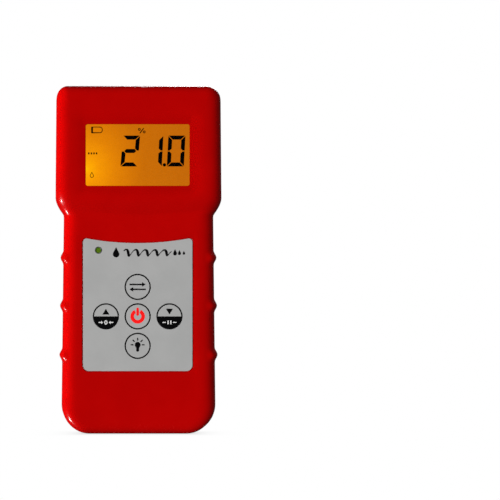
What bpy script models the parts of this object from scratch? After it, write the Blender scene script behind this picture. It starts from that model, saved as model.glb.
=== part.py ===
"""Handheld moisture meter, built piece by piece: casing, display, keypad, electronics and battery bay.

Metres, +Z up. The meter stands on its foot with its display facing -Y.
The origin is the middle of the flat foot; Y = 0 is the parting plane of the two casing shells.
"""

import math

import bmesh
import bpy
from mathutils import Matrix, Vector

MM = 0.001
FIT_GAP = 0.3 * MM  # between neighbouring pieces
SEAT_GAP = 0.1 * MM  # between a component and the board that it is soldered to

# ---- casing outline, seen from the front ----
BODY_HEIGHT = 150 * MM
HEAD_HALF_WIDTH = 36 * MM
CROWN_HALF_WIDTH = 35.6 * MM
NECK_HALF_WIDTH = 32.4 * MM
FOOT_HALF_WIDTH = 33.5 * MM
NECK_Z = 94.4 * MM
SHOULDER_Z = 101.8 * MM
FOOT_CORNER = 12.5 * MM
CROWN_CORNER = 5.5 * MM
RIB_HEIGHTS = (33.9 * MM, 55.2 * MM, 76.0 * MM)
RIB_REACH = 1.2 * MM
RIB_HALF_LENGTH = 3.2 * MM

# ---- casing depths, measured from the parting plane ----
HEAD_DEPTH = 15.5 * MM
HANDLE_DEPTH = 12.5 * MM
BACK_DEPTH = 14.0 * MM
RAMP_LENGTH = 9 * MM
RAMP_SAG = 2.6 * MM  # the ramp's lower crease rises by this much at the sides
DRAFT = 0.4 * MM  # the sides lean in by this much; the foot and crown stay flat
FRONT_EDGE = 7.0 * MM  # radius of the long front edges
FRONT_END_EDGE = 4.5 * MM  # radius across the crown and the foot
BACK_EDGE = 4.5 * MM
WALL = 2.2 * MM
HEAD_INNER_DEPTH = 12.5 * MM
HANDLE_INNER_DEPTH = 10.3 * MM
BACK_INNER_DEPTH = 11.4 * MM
LAP_INNER = 1.1 * MM  # the front rim's step, from the outline
LAP_OUTER = 1.4 * MM  # the rear rim's lip, which drops inside that step
LAP_FRONT = 1.9 * MM
LAP_REAR = 1.5 * MM
OVERCUT = 0.2 * MM  # how far a cutter runs past the face that it opens

# ---- display ----
WINDOW_SIZE = (44.7 * MM, 26.5 * MM)
WINDOW_Z = 120.2 * MM
WINDOW_CORNER = 0.9 * MM
BASIN_FLOOR = 13.7 * MM
BASIN_FLARE = 4.6 * MM
LENS_FRONT = 12.2 * MM
GLASS_FRONT = 10.9 * MM
GLASS_BACK = 8.3 * MM
BACKLIGHT_BACK = 5.2 * MM
GLASS_HALF_SIZE = (25 * MM, 17 * MM)
GUIDE_HALF_SIZE = (24 * MM, 13.6 * MM)
FRAME_HALF_SIZE = (27 * MM, 19 * MM)
ZEBRA_HALF_WIDTH = 22 * MM
ZEBRA_OFFSET = 15.4 * MM
ZEBRA_HEIGHT = 2 * MM
LENS_THICKNESS = 1 * MM
LENS_MARGIN = 2.2 * MM

# ---- keypad ----
OVERLAY_HALF_WIDTH = 23.6 * MM
OVERLAY_BOTTOM = 27.1 * MM
OVERLAY_TOP = 84.3 * MM
OVERLAY_SAG = 2.0 * MM
OVERLAY_FRONT = 12.1 * MM
OVERLAY_BACK = 11.7 * MM
RECESS_FLOOR = 11.4 * MM
KEY_Z = 50.7 * MM
KEY_PITCH_X = 13.7 * MM
KEY_PITCH_Z = 12.7 * MM
KEY_RADIUS = 5.45 * MM
KEY_FRONT = 12.3 * MM
KEY_TRAVEL = 0.3 * MM
KEY_SEGMENTS = 26
KEY_BACK = RECESS_FLOOR + KEY_TRAVEL + 0.05 * MM
KEY_STALK_RADIUS = 3.6 * MM
KEY_HOLE_RADIUS = 4.3 * MM
KEY_STALK_END = 9.0 * MM
KEYS = {
    "function": (0, 1),
    "zero": (-1, 0),
    "power": (0, 0),
    "hold": (1, 0),
    "light": (0, -1),
}
LED_POSITION = (-16.9 * MM, 79.2 * MM)
LED_RADIUS = 1.5 * MM
LED_TIP = 12.0 * MM
LED_RIM = (6.6 * MM, 7.6 * MM)
LED_LEG = 0.5 * MM
LED_LEG_OFFSET = 1.0 * MM
OVERLAY_HOLE_GAP = 0.2 * MM
OVERLAY_LED_HOLE = 1.3 * MM
SWITCH_SIZE = 6 * MM
SWITCH_FRONT = 8.1 * MM
WELL_FLOOR = 6.5 * MM
STEM_RADIUS = 1.75 * MM
THROUGH_FRONT = (-13 * MM, -9 * MM)  # cuts right through the handle's front wall

# ---- main board ----
BOARD_FRONT = 4.5 * MM
BOARD_BACK = 2.9 * MM
BOARD_BOTTOM = 16 * MM
BOARD_TOP = 145 * MM
BOARD_HEAD_HALF_WIDTH = 32.3 * MM
BOARD_HANDLE_HALF_WIDTH = 29.0 * MM
BOARD_CORNER = 3 * MM
BOARD_SCREW_HOLE = 1.3 * MM
BOARD_SCREW_HEAD = (1.9 * MM, 1.3 * MM)
BOARD_SCREW_SHANK = (1.0 * MM, 5 * MM)
BOARD_PILLAR_HOLE = 3.7 * MM
BOARD_SCREWS = ((-29.5 * MM, 141 * MM), (29.5 * MM, 141 * MM), (-26.6 * MM, 26 * MM), (26.6 * MM, 26 * MM))

COMPONENT_SEAT = -BOARD_BACK + SEAT_GAP
PIN_PITCH = 1.27 * MM
PIN_LENGTH = 1 * MM
PIN_HALF_WIDTH = 0.22 * MM
PIN_RISE = 0.4 * MM

# ---- case screws: two under the sensor plate, two at the foot ----
CASE_SCREWS = ((-16 * MM, 91 * MM), (16 * MM, 91 * MM), (-23 * MM, 8.6 * MM), (23 * MM, 8.6 * MM))
CASE_SCREW_HEAD = (2.5 * MM, 1.9 * MM)
CASE_SCREW_SHANK = (1.3 * MM, 8 * MM)
SCREW_SEAT = 7.0 * MM
PILLAR_MEET = 2.0 * MM
FRONT_PILLAR_RADIUS = 3.2 * MM
FRONT_PILLAR_BORE = 1.5 * MM
REAR_PILLAR_RADIUS = 4.1 * MM
SCREW_POCKET_RADIUS = 2.9 * MM
SCREW_HOLE_RADIUS = 1.6 * MM
PEG_RADIUS = 2.3 * MM
PEG_BORE = 1.2 * MM
INTO_FRONT_WALL = 11.5 * MM  # pillars and pegs start inside the front wall
INTO_BACK_WALL = 12.0 * MM

# ---- sensor ----
SENSOR_HALF_WIDTH = 22 * MM
SENSOR_BOTTOM = 78.7 * MM
SENSOR_TOP = 132.7 * MM
SENSOR_CORNER = 2.2 * MM
SENSOR_FLOOR = 12.5 * MM
SENSOR_FACE = 15.5 * MM
ELECTRODE_DEPTH = (10.6 * MM, 11.1 * MM)
ELECTRODE_HALF_WIDTH = 20 * MM
ELECTRODE_HEIGHT = (98 * MM, 130 * MM)

# ---- battery bay ----
CELL_RADIUS = 5.15 * MM
CELL_PITCH = 10.7 * MM
CELL_LENGTH = 43.3 * MM
CELL_NUB = 1.0 * MM
CELL_Y = 5.6 * MM
CELL_NUB_RADIUS = 1.9 * MM
CELL_CLEARANCE = 0.9 * MM  # from a cell's nub to the bay's end wall
CONTACT_THICKNESS = 0.4 * MM
CONTACT_HALF_WIDTH = 4.3 * MM
TAIL_HALF_WIDTH = 1.2 * MM
TAIL_SLOT_HALF_WIDTH = 2.5 * MM
TAIL_DEPTH = (5.2 * MM, 5.6 * MM)
SPRING_TURNS = 3
SPRING_STEPS = 10
SPRING_WIRE = 0.35 * MM
SPRING_BASE_RADIUS = 3.6 * MM
SPRING_TIP_RADIUS = 2.0 * MM
CABLE_RADIUS = 0.6 * MM
BAY_HALF_WIDTH = 21.8 * MM
BAY_BOTTOM = 17.0 * MM
BAY_TOP = 66.0 * MM
BAY_FLOOR = -0.2 * MM
BAY_WALL = 1.5 * MM
BAY_FLOOR_THICKNESS = 1.2 * MM
LEDGE_WIDTH = 2.3 * MM
LEDGE_INNER = 10.2 * MM
RECESS_BREAKTHROUGH = 11.72 * MM  # slots behind the door run just into its recess
OUTSIDE_BACK = 20 * MM
DOOR_HALF_WIDTH = 25 * MM
DOOR_BOTTOM = 13.0 * MM
DOOR_TOP = 68.5 * MM
DOOR_INNER = 12.0 * MM
DOOR_CORNER = 2.0 * MM
TAB_X = 15 * MM
TAB_HALF_WIDTH = 3 * MM
TAB_FRONT = 10.0 * MM
TAB_BACK = 11.05 * MM
TAB_BOTTOM = 11.3 * MM
SLOT_GAP = 0.4 * MM
LATCH_HALF_WIDTH = 5 * MM
LATCH_FRONT = 10.4 * MM
LATCH_HEIGHT = (67.2 * MM, 68.2 * MM)
INTO_DOOR = 12.5 * MM
THUMB_RADIUS = 7.5 * MM
THUMB_Z = DOOR_TOP - 9 * MM
THUMB_FLOOR = 13.2 * MM
RIDGE_TOP = 13.8 * MM
RIDGE_PITCH = 2.8 * MM
RIDGE_HALF_WIDTH = 0.45 * MM

RED_PLASTIC = ("red_plastic", (0.62, 0.004, 0.004), 0.34, 0.0)
BLACK_PLASTIC = ("black_plastic", (0.012, 0.012, 0.013), 0.45, 0.0)
CLEAR_LENS = ("clear_lens", (0.9, 0.92, 0.92), 0.05, 0.0)
OVERLAY_FILM = ("overlay_film", (0.38, 0.38, 0.375), 0.5, 0.0)
LCD_GLASS = ("lcd_glass", (0.78, 0.42, 0.02), 0.15, 0.0)
AMBER_GUIDE = ("amber_guide", (0.95, 0.5, 0.03), 0.3, 0.0)
BOARD_GREEN = ("board_green", (0.01, 0.16, 0.06), 0.4, 0.0)
CHIP_BLACK = ("chip_black", (0.02, 0.02, 0.02), 0.55, 0.0)
TIN = ("tin", (0.72, 0.72, 0.7), 0.3, 1.0)
STEEL = ("steel", (0.62, 0.62, 0.63), 0.32, 1.0)
COPPER = ("copper", (0.8, 0.42, 0.22), 0.3, 1.0)
GREEN_LED = ("green_led", (0.12, 0.32, 0.02), 0.2, 0.0)
TRIM_BLUE = ("trimmer_blue", (0.02, 0.12, 0.5), 0.4, 0.0)
CAPACITOR_SLEEVE = ("capacitor_sleeve", (0.03, 0.04, 0.12), 0.35, 0.0)
ZEBRA_RUBBER = ("zebra_rubber", (0.35, 0.35, 0.36), 0.8, 0.0)
WIRE_RED = ("wire_red", (0.7, 0.02, 0.02), 0.4, 0.0)
WIRE_BLACK = ("wire_black", (0.02, 0.02, 0.02), 0.4, 0.0)
CELL_JACKET = ("cell_jacket", (0.05, 0.09, 0.12), 0.3, 0.2)


# ======================================================================
# Scene and mesh helpers
# ======================================================================


def clear_scene():
    for obj in list(bpy.data.objects):
        bpy.data.objects.remove(obj)


def material(spec):
    name, colour, roughness, metallic = spec
    found = bpy.data.materials.get(name)
    if found:
        return found
    made = bpy.data.materials.new(name)
    made.use_nodes = True
    shader = made.node_tree.nodes["Principled BSDF"]
    shader.inputs["Base Color"].default_value = (*colour, 1)
    shader.inputs["Roughness"].default_value = roughness
    shader.inputs["Metallic"].default_value = metallic
    return made


def place(bm, name, spec, location=(0, 0, 0), smooth_angle=35):
    """Turns a bmesh into an object with its faces pointing out."""
    bmesh.ops.recalc_face_normals(bm, faces=bm.faces)
    mesh = bpy.data.meshes.new(name)
    bm.to_mesh(mesh)
    bm.free()
    mesh.shade_smooth()
    mesh.set_sharp_from_angle(angle=math.radians(smooth_angle))
    obj = bpy.data.objects.new(name, mesh)
    obj.location = location
    bpy.context.scene.collection.objects.link(obj)
    if spec:
        mesh.materials.append(material(spec))
    return obj


def box_mesh(x, y, z):
    """A block between the limits (low, high) on each axis."""
    bm = bmesh.new()
    size = Matrix.Diagonal((x[1] - x[0], y[1] - y[0], z[1] - z[0], 1))
    middle = Matrix.Translation(((x[0] + x[1]) / 2, (y[0] + y[1]) / 2, (z[0] + z[1]) / 2))
    bmesh.ops.create_cube(bm, size=1, matrix=middle @ size)
    return bm


def box(name, spec, x, y, z):
    return place(box_mesh(x, y, z), name, spec)


def arc(centre, radius, start, end, steps):
    """Points (u, v) on an arc, angles in degrees."""
    turns = [math.radians(start + (end - start) * k / steps) for k in range(steps + 1)]
    return [(centre[0] + radius * math.cos(t), centre[1] + radius * math.sin(t)) for t in turns]


def rounded_rectangle(half_width, low, high, radius, steps=3):
    """Anticlockwise outline (x, z) with rounded corners."""
    points = []
    for x_side, z, start in ((1, high, 0), (-1, high, 90), (-1, low, 180), (1, low, 270)):
        centre_z = z - radius if z == high else z + radius
        points += arc((x_side * (half_width - radius), centre_z), radius, start, start + 90, steps)
    return points


def prism_mesh(outline, front, back, flare=0.0):
    """An outline (x, z) carried from y = front to y = back; flare widens the front end outwards."""
    bm = bmesh.new()
    middle_x = sum(p[0] for p in outline) / len(outline)
    middle_z = sum(p[1] for p in outline) / len(outline)
    half_x = max(abs(p[0] - middle_x) for p in outline)
    half_z = max(abs(p[1] - middle_z) for p in outline)
    grow_x = 1 + flare / half_x
    grow_z = 1 + flare / half_z
    near = [
        bm.verts.new((middle_x + (x - middle_x) * grow_x, front, middle_z + (z - middle_z) * grow_z))
        for x, z in outline
    ]
    far = [bm.verts.new((x, back, z)) for x, z in outline]
    bm.faces.new(near)
    bm.faces.new(list(reversed(far)))
    count = len(outline)
    for k in range(count):
        bm.faces.new((near[k], far[k], far[(k + 1) % count], near[(k + 1) % count]))
    return bm


def prism(name, spec, outline, front, back, flare=0.0):
    return place(prism_mesh(outline, front, back, flare), name, spec)


def turned_mesh(profile, segments):
    """A solid of revolution about local Y from (radius, y) points; it starts and ends on the axis."""
    bm = bmesh.new()
    rings = []
    for radius, y in profile:
        if radius == 0:
            rings.append([bm.verts.new((0, y, 0))])
            continue
        turns = [2 * math.pi * k / segments for k in range(segments)]
        rings.append([bm.verts.new((radius * math.cos(t), y, radius * math.sin(t))) for t in turns])
    for first, second in zip(rings, rings[1:]):
        for k in range(segments):
            corners = [
                first[k % len(first)],
                first[(k + 1) % len(first)],
                second[(k + 1) % len(second)],
                second[k % len(second)],
            ]
            bm.faces.new(list(dict.fromkeys(corners)))
    return bm


def turned(name, spec, profile, location, segments=20, upright=False):
    """A turned piece along Y, or along Z if upright."""
    bm = turned_mesh(profile, segments)
    if upright:
        bmesh.ops.rotate(bm, verts=bm.verts, matrix=Matrix.Rotation(math.pi / 2, 3, "X"))
    return place(bm, name, spec, location)


def cylinder(name, spec, radius, y, centre, segments=16):
    """A plain cylinder along Y between y[0] and y[1], at centre (x, z)."""
    profile = [(0, y[0]), (radius, y[0]), (radius, y[1]), (0, y[1])]
    return turned(name, spec, profile, (centre[0], 0, centre[1]), segments)


def helper(obj):
    """Marks a cutter, or a shape that a union takes up, so that it isn't a piece of its own."""
    obj.hide_render = True
    obj.display_type = "WIRE"
    return obj


def combine(target, operation, others):
    """Adds an exact Boolean to the target for each of the other shapes, in order."""
    for other in others:
        helper(other)
        modifier = target.modifiers.new(f"{operation.lower()}_{other.name}", "BOOLEAN")
        modifier.operation = operation
        modifier.solver = "EXACT"
        modifier.object = other
    return target


def cut(target, *cutters):
    return combine(target, "DIFFERENCE", cutters)


def join(target, *additions):
    return combine(target, "UNION", additions)


def tube(name, spec, points, radius):
    """A round wire through the given points, closed at both ends."""
    curve = bpy.data.curves.new(name, "CURVE")
    curve.dimensions = "3D"
    curve.bevel_depth = radius
    curve.bevel_resolution = 2
    curve.use_fill_caps = True
    curve.resolution_u = 3
    spline = curve.splines.new("BEZIER")
    spline.bezier_points.add(len(points) - 1)
    for knot, point in zip(spline.bezier_points, points):
        knot.co = point
        knot.handle_left_type = "AUTO"
        knot.handle_right_type = "AUTO"
    curve.materials.append(material(spec))
    obj = bpy.data.objects.new(name, curve)
    bpy.context.scene.collection.objects.link(obj)
    return obj


# ======================================================================
# Casing
# ======================================================================

FOOT_STEPS = 6
CROWN_STEPS = 4
FACE_COLUMNS = 10
SIDE_LEVELS = [rib + share * RIB_HALF_LENGTH for rib in RIB_HEIGHTS for share in (-1, -0.5, 0, 0.5, 1)]
RAMP_LEVELS = [88 * MM, 92 * MM, NECK_Z, 96 * MM, 97.8 * MM, 99.6 * MM, SHOULDER_Z, 106 * MM]
RIGHT_SIDE = (
    [("foot", 90 * k / FOOT_STEPS) for k in range(FOOT_STEPS + 1)]
    + [("side", z) for z in SIDE_LEVELS + RAMP_LEVELS]
    + [("crown", 90 * k / CROWN_STEPS) for k in range(CROWN_STEPS + 1)]
)


def ease(share):
    """Leaves 0 with a crease and settles into 1 smoothly."""
    share = min(max(share, 0), 1)
    return 1 - (1 - share) ** 1.7


def rib_reach(z):
    """How far a finger rib stands out at height z."""
    for rib in RIB_HEIGHTS:
        offset = abs(z - rib) / RIB_HALF_LENGTH
        if offset < 1:
            return RIB_REACH * math.cos(offset * math.pi / 2) ** 2
    return 0


def half_width(z):
    """Half width of the casing at height z, without ribs and end corners."""
    if z < NECK_Z:
        share = z / NECK_Z
        return FOOT_HALF_WIDTH + (NECK_HALF_WIDTH - FOOT_HALF_WIDTH) * share
    shoulder = (HEAD_HALF_WIDTH - NECK_HALF_WIDTH) * ease((z - NECK_Z) / (SHOULDER_Z - NECK_Z))
    taper = (HEAD_HALF_WIDTH - CROWN_HALF_WIDTH) * max(0, (z - SHOULDER_Z) / (BODY_HEIGHT - SHOULDER_Z))
    return NECK_HALF_WIDTH + shoulder - taper


def raised_head(x, z, low, high):
    """Depth that ramps from the handle's to the head's across an arched crease."""
    start = NECK_Z + RAMP_SAG * (x / NECK_HALF_WIDTH) ** 2
    return low + (high - low) * ease((z - start) / RAMP_LENGTH)


def outline_point(station, inset, rib_share):
    """The point (x, z) of a station on the outline, moved in by inset."""
    part, value = station
    foot_radius = FOOT_CORNER - inset
    crown_radius = CROWN_CORNER - 0.7 * inset
    foot_x = half_width(FOOT_CORNER) - FOOT_CORNER
    crown_x = half_width(BODY_HEIGHT) - inset - crown_radius
    if part == "foot":
        turn = math.radians(value)
        return foot_x + foot_radius * math.sin(turn), FOOT_CORNER - foot_radius * math.cos(turn)
    if part == "crown":
        turn = math.radians(value)
        low = BODY_HEIGHT - inset - crown_radius
        return crown_x + crown_radius * math.cos(turn), low + crown_radius * math.sin(turn)
    if part == "foot_edge":
        return value * foot_x, inset
    if part == "crown_edge":
        return value * crown_x, BODY_HEIGHT - inset
    return half_width(value) + rib_share * rib_reach(value) - inset, value


def side_share(station):
    """1 along the sides, 0 across the flat foot and crown, and between them round the corners."""
    part, value = station
    if part in ("foot_edge", "crown_edge"):
        return 0
    if part == "side":
        return 1
    turn = math.radians(value if part == "foot" else 90 - value)
    return math.sin(turn) ** 2


def casing_loops(stations, side, surface):
    """Closed loops of points from the rim to the flat of one surface of a shell.

    surface holds the depth function, the inset, the edge radii and the number of steps round the edge.
    """
    loops = []
    steps = surface["steps"]
    for step in range(steps + 1):
        turn = math.pi / 2 * step / steps
        rib_share = max(0, 1 - step / (0.7 * steps)) if surface["ribs"] else 0
        loop = []
        for mirror, station in stations:
            share = side_share(station)
            radius = surface["end_radius"] + (surface["side_radius"] - surface["end_radius"]) * share
            inset = surface["inset"] + DRAFT * share + radius * (1 - math.cos(turn))
            x, z = outline_point(station, inset, rib_share)
            depth = surface["depth"](x, z) - radius * (1 - math.sin(turn))
            loop.append((mirror * x, side * depth, z))
        loops.append(loop)
    return loops


def rim_loop(stations, y, inset, ribs):
    loop = []
    for mirror, station in stations:
        x, z = outline_point(station, inset, 1 if ribs else 0)
        loop.append((mirror * x, y, z))
    return loop


def face_grid(bm, loop, rows, columns, side, depth):
    """Fills the flat face inside a loop with a ladder of quads."""
    def corner(row, column):
        if column == columns:
            return loop[row]
        if column == 0:
            return loop[2 * rows + columns - 2 - row]
        if row == rows - 1:
            return loop[rows + columns - 1 - column]
        if row == 0:
            return loop[2 * rows + columns - 2 + column]
        return inner[row, column]

    inner = {}
    for row in range(1, rows - 1):
        right = loop[row].co
        for column in range(1, columns):
            x = right.x * (2 * column / columns - 1)
            inner[row, column] = bm.verts.new((x, side * depth(x, right.z), right.z))
    for row in range(rows - 1):
        for column in range(columns):
            bm.faces.new(
                (
                    corner(row, column),
                    corner(row, column + 1),
                    corner(row + 1, column + 1),
                    corner(row + 1, column),
                )
            )


def shell_mesh(side, inner, rims, outer):
    """A hollow half casing: inner face, inner wall, stepped rim, outer wall, outer face."""
    columns = FACE_COLUMNS
    across = [2 * k / columns - 1 for k in range(1, columns)]
    stations = [(1, station) for station in RIGHT_SIDE]
    stations += [(-1, ("crown_edge", share)) for share in across]
    stations += [(-1, station) for station in reversed(RIGHT_SIDE)]
    stations += [(1, ("foot_edge", share)) for share in across]
    loops = list(reversed(casing_loops(stations, side, inner)))
    loops += [rim_loop(stations, y, inset, ribs) for y, inset, ribs in rims]
    loops += casing_loops(stations, side, outer)
    bm = bmesh.new()
    rings = [[bm.verts.new(point) for point in loop] for loop in loops]
    count = len(stations)
    for first, second in zip(rings, rings[1:]):
        for k in range(count):
            bm.faces.new((first[k], first[(k + 1) % count], second[(k + 1) % count], second[k]))
    rows = len(RIGHT_SIDE)
    face_grid(bm, rings[0], rows, columns, side, inner["depth"])
    face_grid(bm, rings[-1], rows, columns, side, outer["depth"])
    return bm


def around_window(half_height):
    return WINDOW_Z - half_height, WINDOW_Z + half_height


def front_outer_depth(x, z):
    return raised_head(x, z, HANDLE_DEPTH, HEAD_DEPTH)


def front_inner_depth(x, z):
    return raised_head(x, z, HANDLE_INNER_DEPTH, HEAD_INNER_DEPTH)


def overlay_outline(margin=0.0, steps=8):
    """The keypad panel: rounded foot corners and a top edge that sags in the middle."""
    half = OVERLAY_HALF_WIDTH + margin
    low = OVERLAY_BOTTOM - margin
    high = OVERLAY_TOP + margin
    foot = 2.6 * MM
    top = 1.6 * MM
    points = arc((half - top, high - top), top, 0, 90, 3)
    for k in range(1, steps):
        x = (half - top) * (1 - 2 * k / steps)
        points.append((x, high - OVERLAY_SAG * (1 - (x / (half - top)) ** 2)))
    points += arc((top - half, high - top), top, 90, 180, 3)
    points += arc((foot - half, low + foot), foot, 180, 270, 3)
    points += arc((half - foot, low + foot), foot, 270, 360, 3)
    return points


def key_centre(name):
    column, row = KEYS[name]
    return column * KEY_PITCH_X, KEY_Z + row * KEY_PITCH_Z


def build_front_shell():
    inner = {
        "depth": front_inner_depth,
        "inset": WALL,
        "side_radius": FRONT_EDGE - WALL,
        "end_radius": FRONT_END_EDGE - WALL,
        "steps": 2,
        "ribs": False,
    }
    outer = {
        "depth": front_outer_depth,
        "inset": 0,
        "side_radius": FRONT_EDGE,
        "end_radius": FRONT_END_EDGE,
        "steps": 4,
        "ribs": True,
    }
    rims = [
        (-LAP_FRONT, WALL, False),
        (-LAP_FRONT, LAP_INNER, False),
        (-FIT_GAP / 2, LAP_INNER, False),
        (-FIT_GAP / 2, 0, True),
    ]
    shell = place(shell_mesh(-1, inner, rims, outer), "front_shell", RED_PLASTIC)
    pillars = [
        cylinder(f"pillar_{k}", None, FRONT_PILLAR_RADIUS, (-INTO_FRONT_WALL, PILLAR_MEET), centre)
        for k, centre in enumerate(CASE_SCREWS)
    ]
    pegs = [
        cylinder(f"peg_{k}", None, PEG_RADIUS, (-INTO_FRONT_WALL, -BOARD_FRONT - FIT_GAP), centre, 12)
        for k, centre in enumerate(BOARD_SCREWS)
    ]
    join(shell, *pillars, *pegs)
    window = rounded_rectangle(WINDOW_SIZE[0] / 2, *around_window(WINDOW_SIZE[1] / 2), WINDOW_CORNER)
    flare = BASIN_FLARE * (1 + OVERCUT / (HEAD_DEPTH - BASIN_FLOOR))
    cut(
        shell,
        prism("window_opening", None, window, -HEAD_DEPTH, -HEAD_INNER_DEPTH + 1 * MM),
        prism("window_basin", None, window, -HEAD_DEPTH - OVERCUT, -BASIN_FLOOR, flare),
        prism("overlay_recess", None, overlay_outline(FIT_GAP), -HEAD_DEPTH, -RECESS_FLOOR),
        cylinder("led_hole", None, LED_RADIUS + FIT_GAP, THROUGH_FRONT, LED_POSITION, 12),
    )
    for name in KEYS:
        cut(shell, cylinder(f"key_hole_{name}", None, KEY_HOLE_RADIUS, THROUGH_FRONT, key_centre(name)))
    for k, centre in enumerate(CASE_SCREWS):
        depth = (-4 * MM, PILLAR_MEET + 1 * MM)
        cut(shell, cylinder(f"pillar_bore_{k}", None, FRONT_PILLAR_BORE, depth, centre, 12))
    for k, centre in enumerate(BOARD_SCREWS):
        depth = (-8.6 * MM, -BOARD_FRONT + 1 * MM)
        cut(shell, cylinder(f"peg_bore_{k}", None, PEG_BORE, depth, centre, 10))
    return shell


def build_rear_shell():
    inner = {
        "depth": lambda x, z: BACK_INNER_DEPTH,
        "inset": WALL,
        "side_radius": BACK_EDGE - WALL,
        "end_radius": BACK_EDGE - WALL,
        "steps": 2,
        "ribs": False,
    }
    outer = {
        "depth": lambda x, z: BACK_DEPTH,
        "inset": 0,
        "side_radius": BACK_EDGE,
        "end_radius": BACK_EDGE,
        "steps": 3,
        "ribs": True,
    }
    rims = [
        (-LAP_REAR, WALL, False),
        (-LAP_REAR, LAP_OUTER, False),
        (FIT_GAP / 2, LAP_OUTER, False),
        (FIT_GAP / 2, 0, True),
    ]
    shell = place(shell_mesh(1, inner, rims, outer), "rear_shell", RED_PLASTIC)
    bay = BAY_HALF_WIDTH
    wall = BAY_WALL
    tub = box(
        "bay_tub",
        None,
        (-bay - wall, bay + wall),
        (BAY_FLOOR - BAY_FLOOR_THICKNESS, INTO_BACK_WALL),
        (BAY_BOTTOM - wall, BAY_TOP + wall),
    )
    ledge = box(
        "door_ledge",
        None,
        (-DOOR_HALF_WIDTH - LEDGE_WIDTH, DOOR_HALF_WIDTH + LEDGE_WIDTH),
        (LEDGE_INNER, INTO_BACK_WALL),
        (DOOR_BOTTOM - LEDGE_WIDTH, DOOR_TOP + LEDGE_WIDTH),
    )
    reach = (PILLAR_MEET + FIT_GAP, INTO_BACK_WALL)
    pillars = [
        cylinder(f"rear_pillar_{k}", None, REAR_PILLAR_RADIUS, reach, centre)
        for k, centre in enumerate(CASE_SCREWS)
    ]
    join(shell, tub, ledge, *pillars)
    door = rounded_rectangle(
        DOOR_HALF_WIDTH + FIT_GAP, DOOR_BOTTOM - FIT_GAP, DOOR_TOP + FIT_GAP, DOOR_CORNER
    )
    sensor = rounded_rectangle(
        SENSOR_HALF_WIDTH + FIT_GAP, SENSOR_BOTTOM - FIT_GAP, SENSOR_TOP + FIT_GAP, SENSOR_CORNER
    )
    cut(
        shell,
        prism("door_recess", None, door, DOOR_INNER - FIT_GAP, OUTSIDE_BACK),
        prism("sensor_recess", None, sensor, SENSOR_FLOOR, OUTSIDE_BACK),
        box("bay_cavity", None, (-bay, bay), (BAY_FLOOR, OUTSIDE_BACK), (BAY_BOTTOM, BAY_TOP)),
    )
    for side, mirror in (("left", -1), ("right", 1)):
        tab = (mirror * TAB_X - TAB_HALF_WIDTH - SLOT_GAP, mirror * TAB_X + TAB_HALF_WIDTH + SLOT_GAP)
        depth = (TAB_FRONT - 1.4 * MM, RECESS_BREAKTHROUGH)
        height = (TAB_BOTTOM - 1.3 * MM, BAY_BOTTOM + 1 * MM)
        cut(shell, box(f"tab_slot_{side}", None, tab, depth, height))
        tail = (mirror * cell_x(4) - TAIL_SLOT_HALF_WIDTH, mirror * cell_x(4) + TAIL_SLOT_HALF_WIDTH)
        depth = (TAIL_DEPTH[0] - 1.8 * MM, TAIL_DEPTH[1] + 1.8 * MM)
        height = (BAY_TOP - 1 * MM, BAY_TOP + 3 * MM)
        cut(shell, box(f"wire_slot_{side}", None, tail, depth, height))
    latch = (-LATCH_HALF_WIDTH - SLOT_GAP, LATCH_HALF_WIDTH + SLOT_GAP)
    depth = (LATCH_FRONT - 0.5 * MM, RECESS_BREAKTHROUGH)
    height = (BAY_TOP - 0.5 * MM, LATCH_HEIGHT[1] + 1 * MM)
    cut(shell, box("latch_pocket", None, latch, depth, height))
    for k, centre in enumerate(CASE_SCREWS):
        cut(
            shell,
            cylinder(f"screw_pocket_{k}", None, SCREW_POCKET_RADIUS, (SCREW_SEAT, OUTSIDE_BACK), centre),
            cylinder(f"screw_hole_{k}", None, SCREW_HOLE_RADIUS, (1 * MM, SCREW_SEAT + 1 * MM), centre, 12),
        )
    return shell


def build_battery_door():
    outline = rounded_rectangle(DOOR_HALF_WIDTH, DOOR_BOTTOM, DOOR_TOP, DOOR_CORNER)
    door = prism("battery_door", RED_PLASTIC, outline, DOOR_INNER, BACK_DEPTH)
    root = (DOOR_BOTTOM + FIT_GAP, DOOR_BOTTOM + 1.6 * MM)
    for side, mirror in (("left", -1), ("right", 1)):
        x = (mirror * TAB_X - TAB_HALF_WIDTH, mirror * TAB_X + TAB_HALF_WIDTH)
        join(
            door,
            box(f"tab_root_{side}", None, x, (TAB_FRONT + 0.6 * MM, INTO_DOOR), root),
            box(f"tab_hook_{side}", None, x, (TAB_FRONT, TAB_BACK), (TAB_BOTTOM, root[1] - 0.4 * MM)),
        )
    latch = (-LATCH_HALF_WIDTH, LATCH_HALF_WIDTH)
    join(door, box("latch_tongue", None, latch, (LATCH_FRONT, INTO_DOOR), LATCH_HEIGHT))
    notch = arc((0, THUMB_Z), THUMB_RADIUS, 0, 360, 20)[:-1]
    cut(door, prism("thumb_hollow", None, notch, THUMB_FLOOR, OUTSIDE_BACK))
    for k in (-1.5, -0.5, 0.5, 1.5):
        offset = k * RIDGE_PITCH
        half = math.sqrt(THUMB_RADIUS**2 - offset**2) - 0.4 * MM
        height = (THUMB_Z + offset - RIDGE_HALF_WIDTH, THUMB_Z + offset + RIDGE_HALF_WIDTH)
        join(door, box(f"thumb_ridge_{k}", None, (-half, half), (THUMB_FLOOR - 0.4 * MM, RIDGE_TOP), height))
    return door


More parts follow.
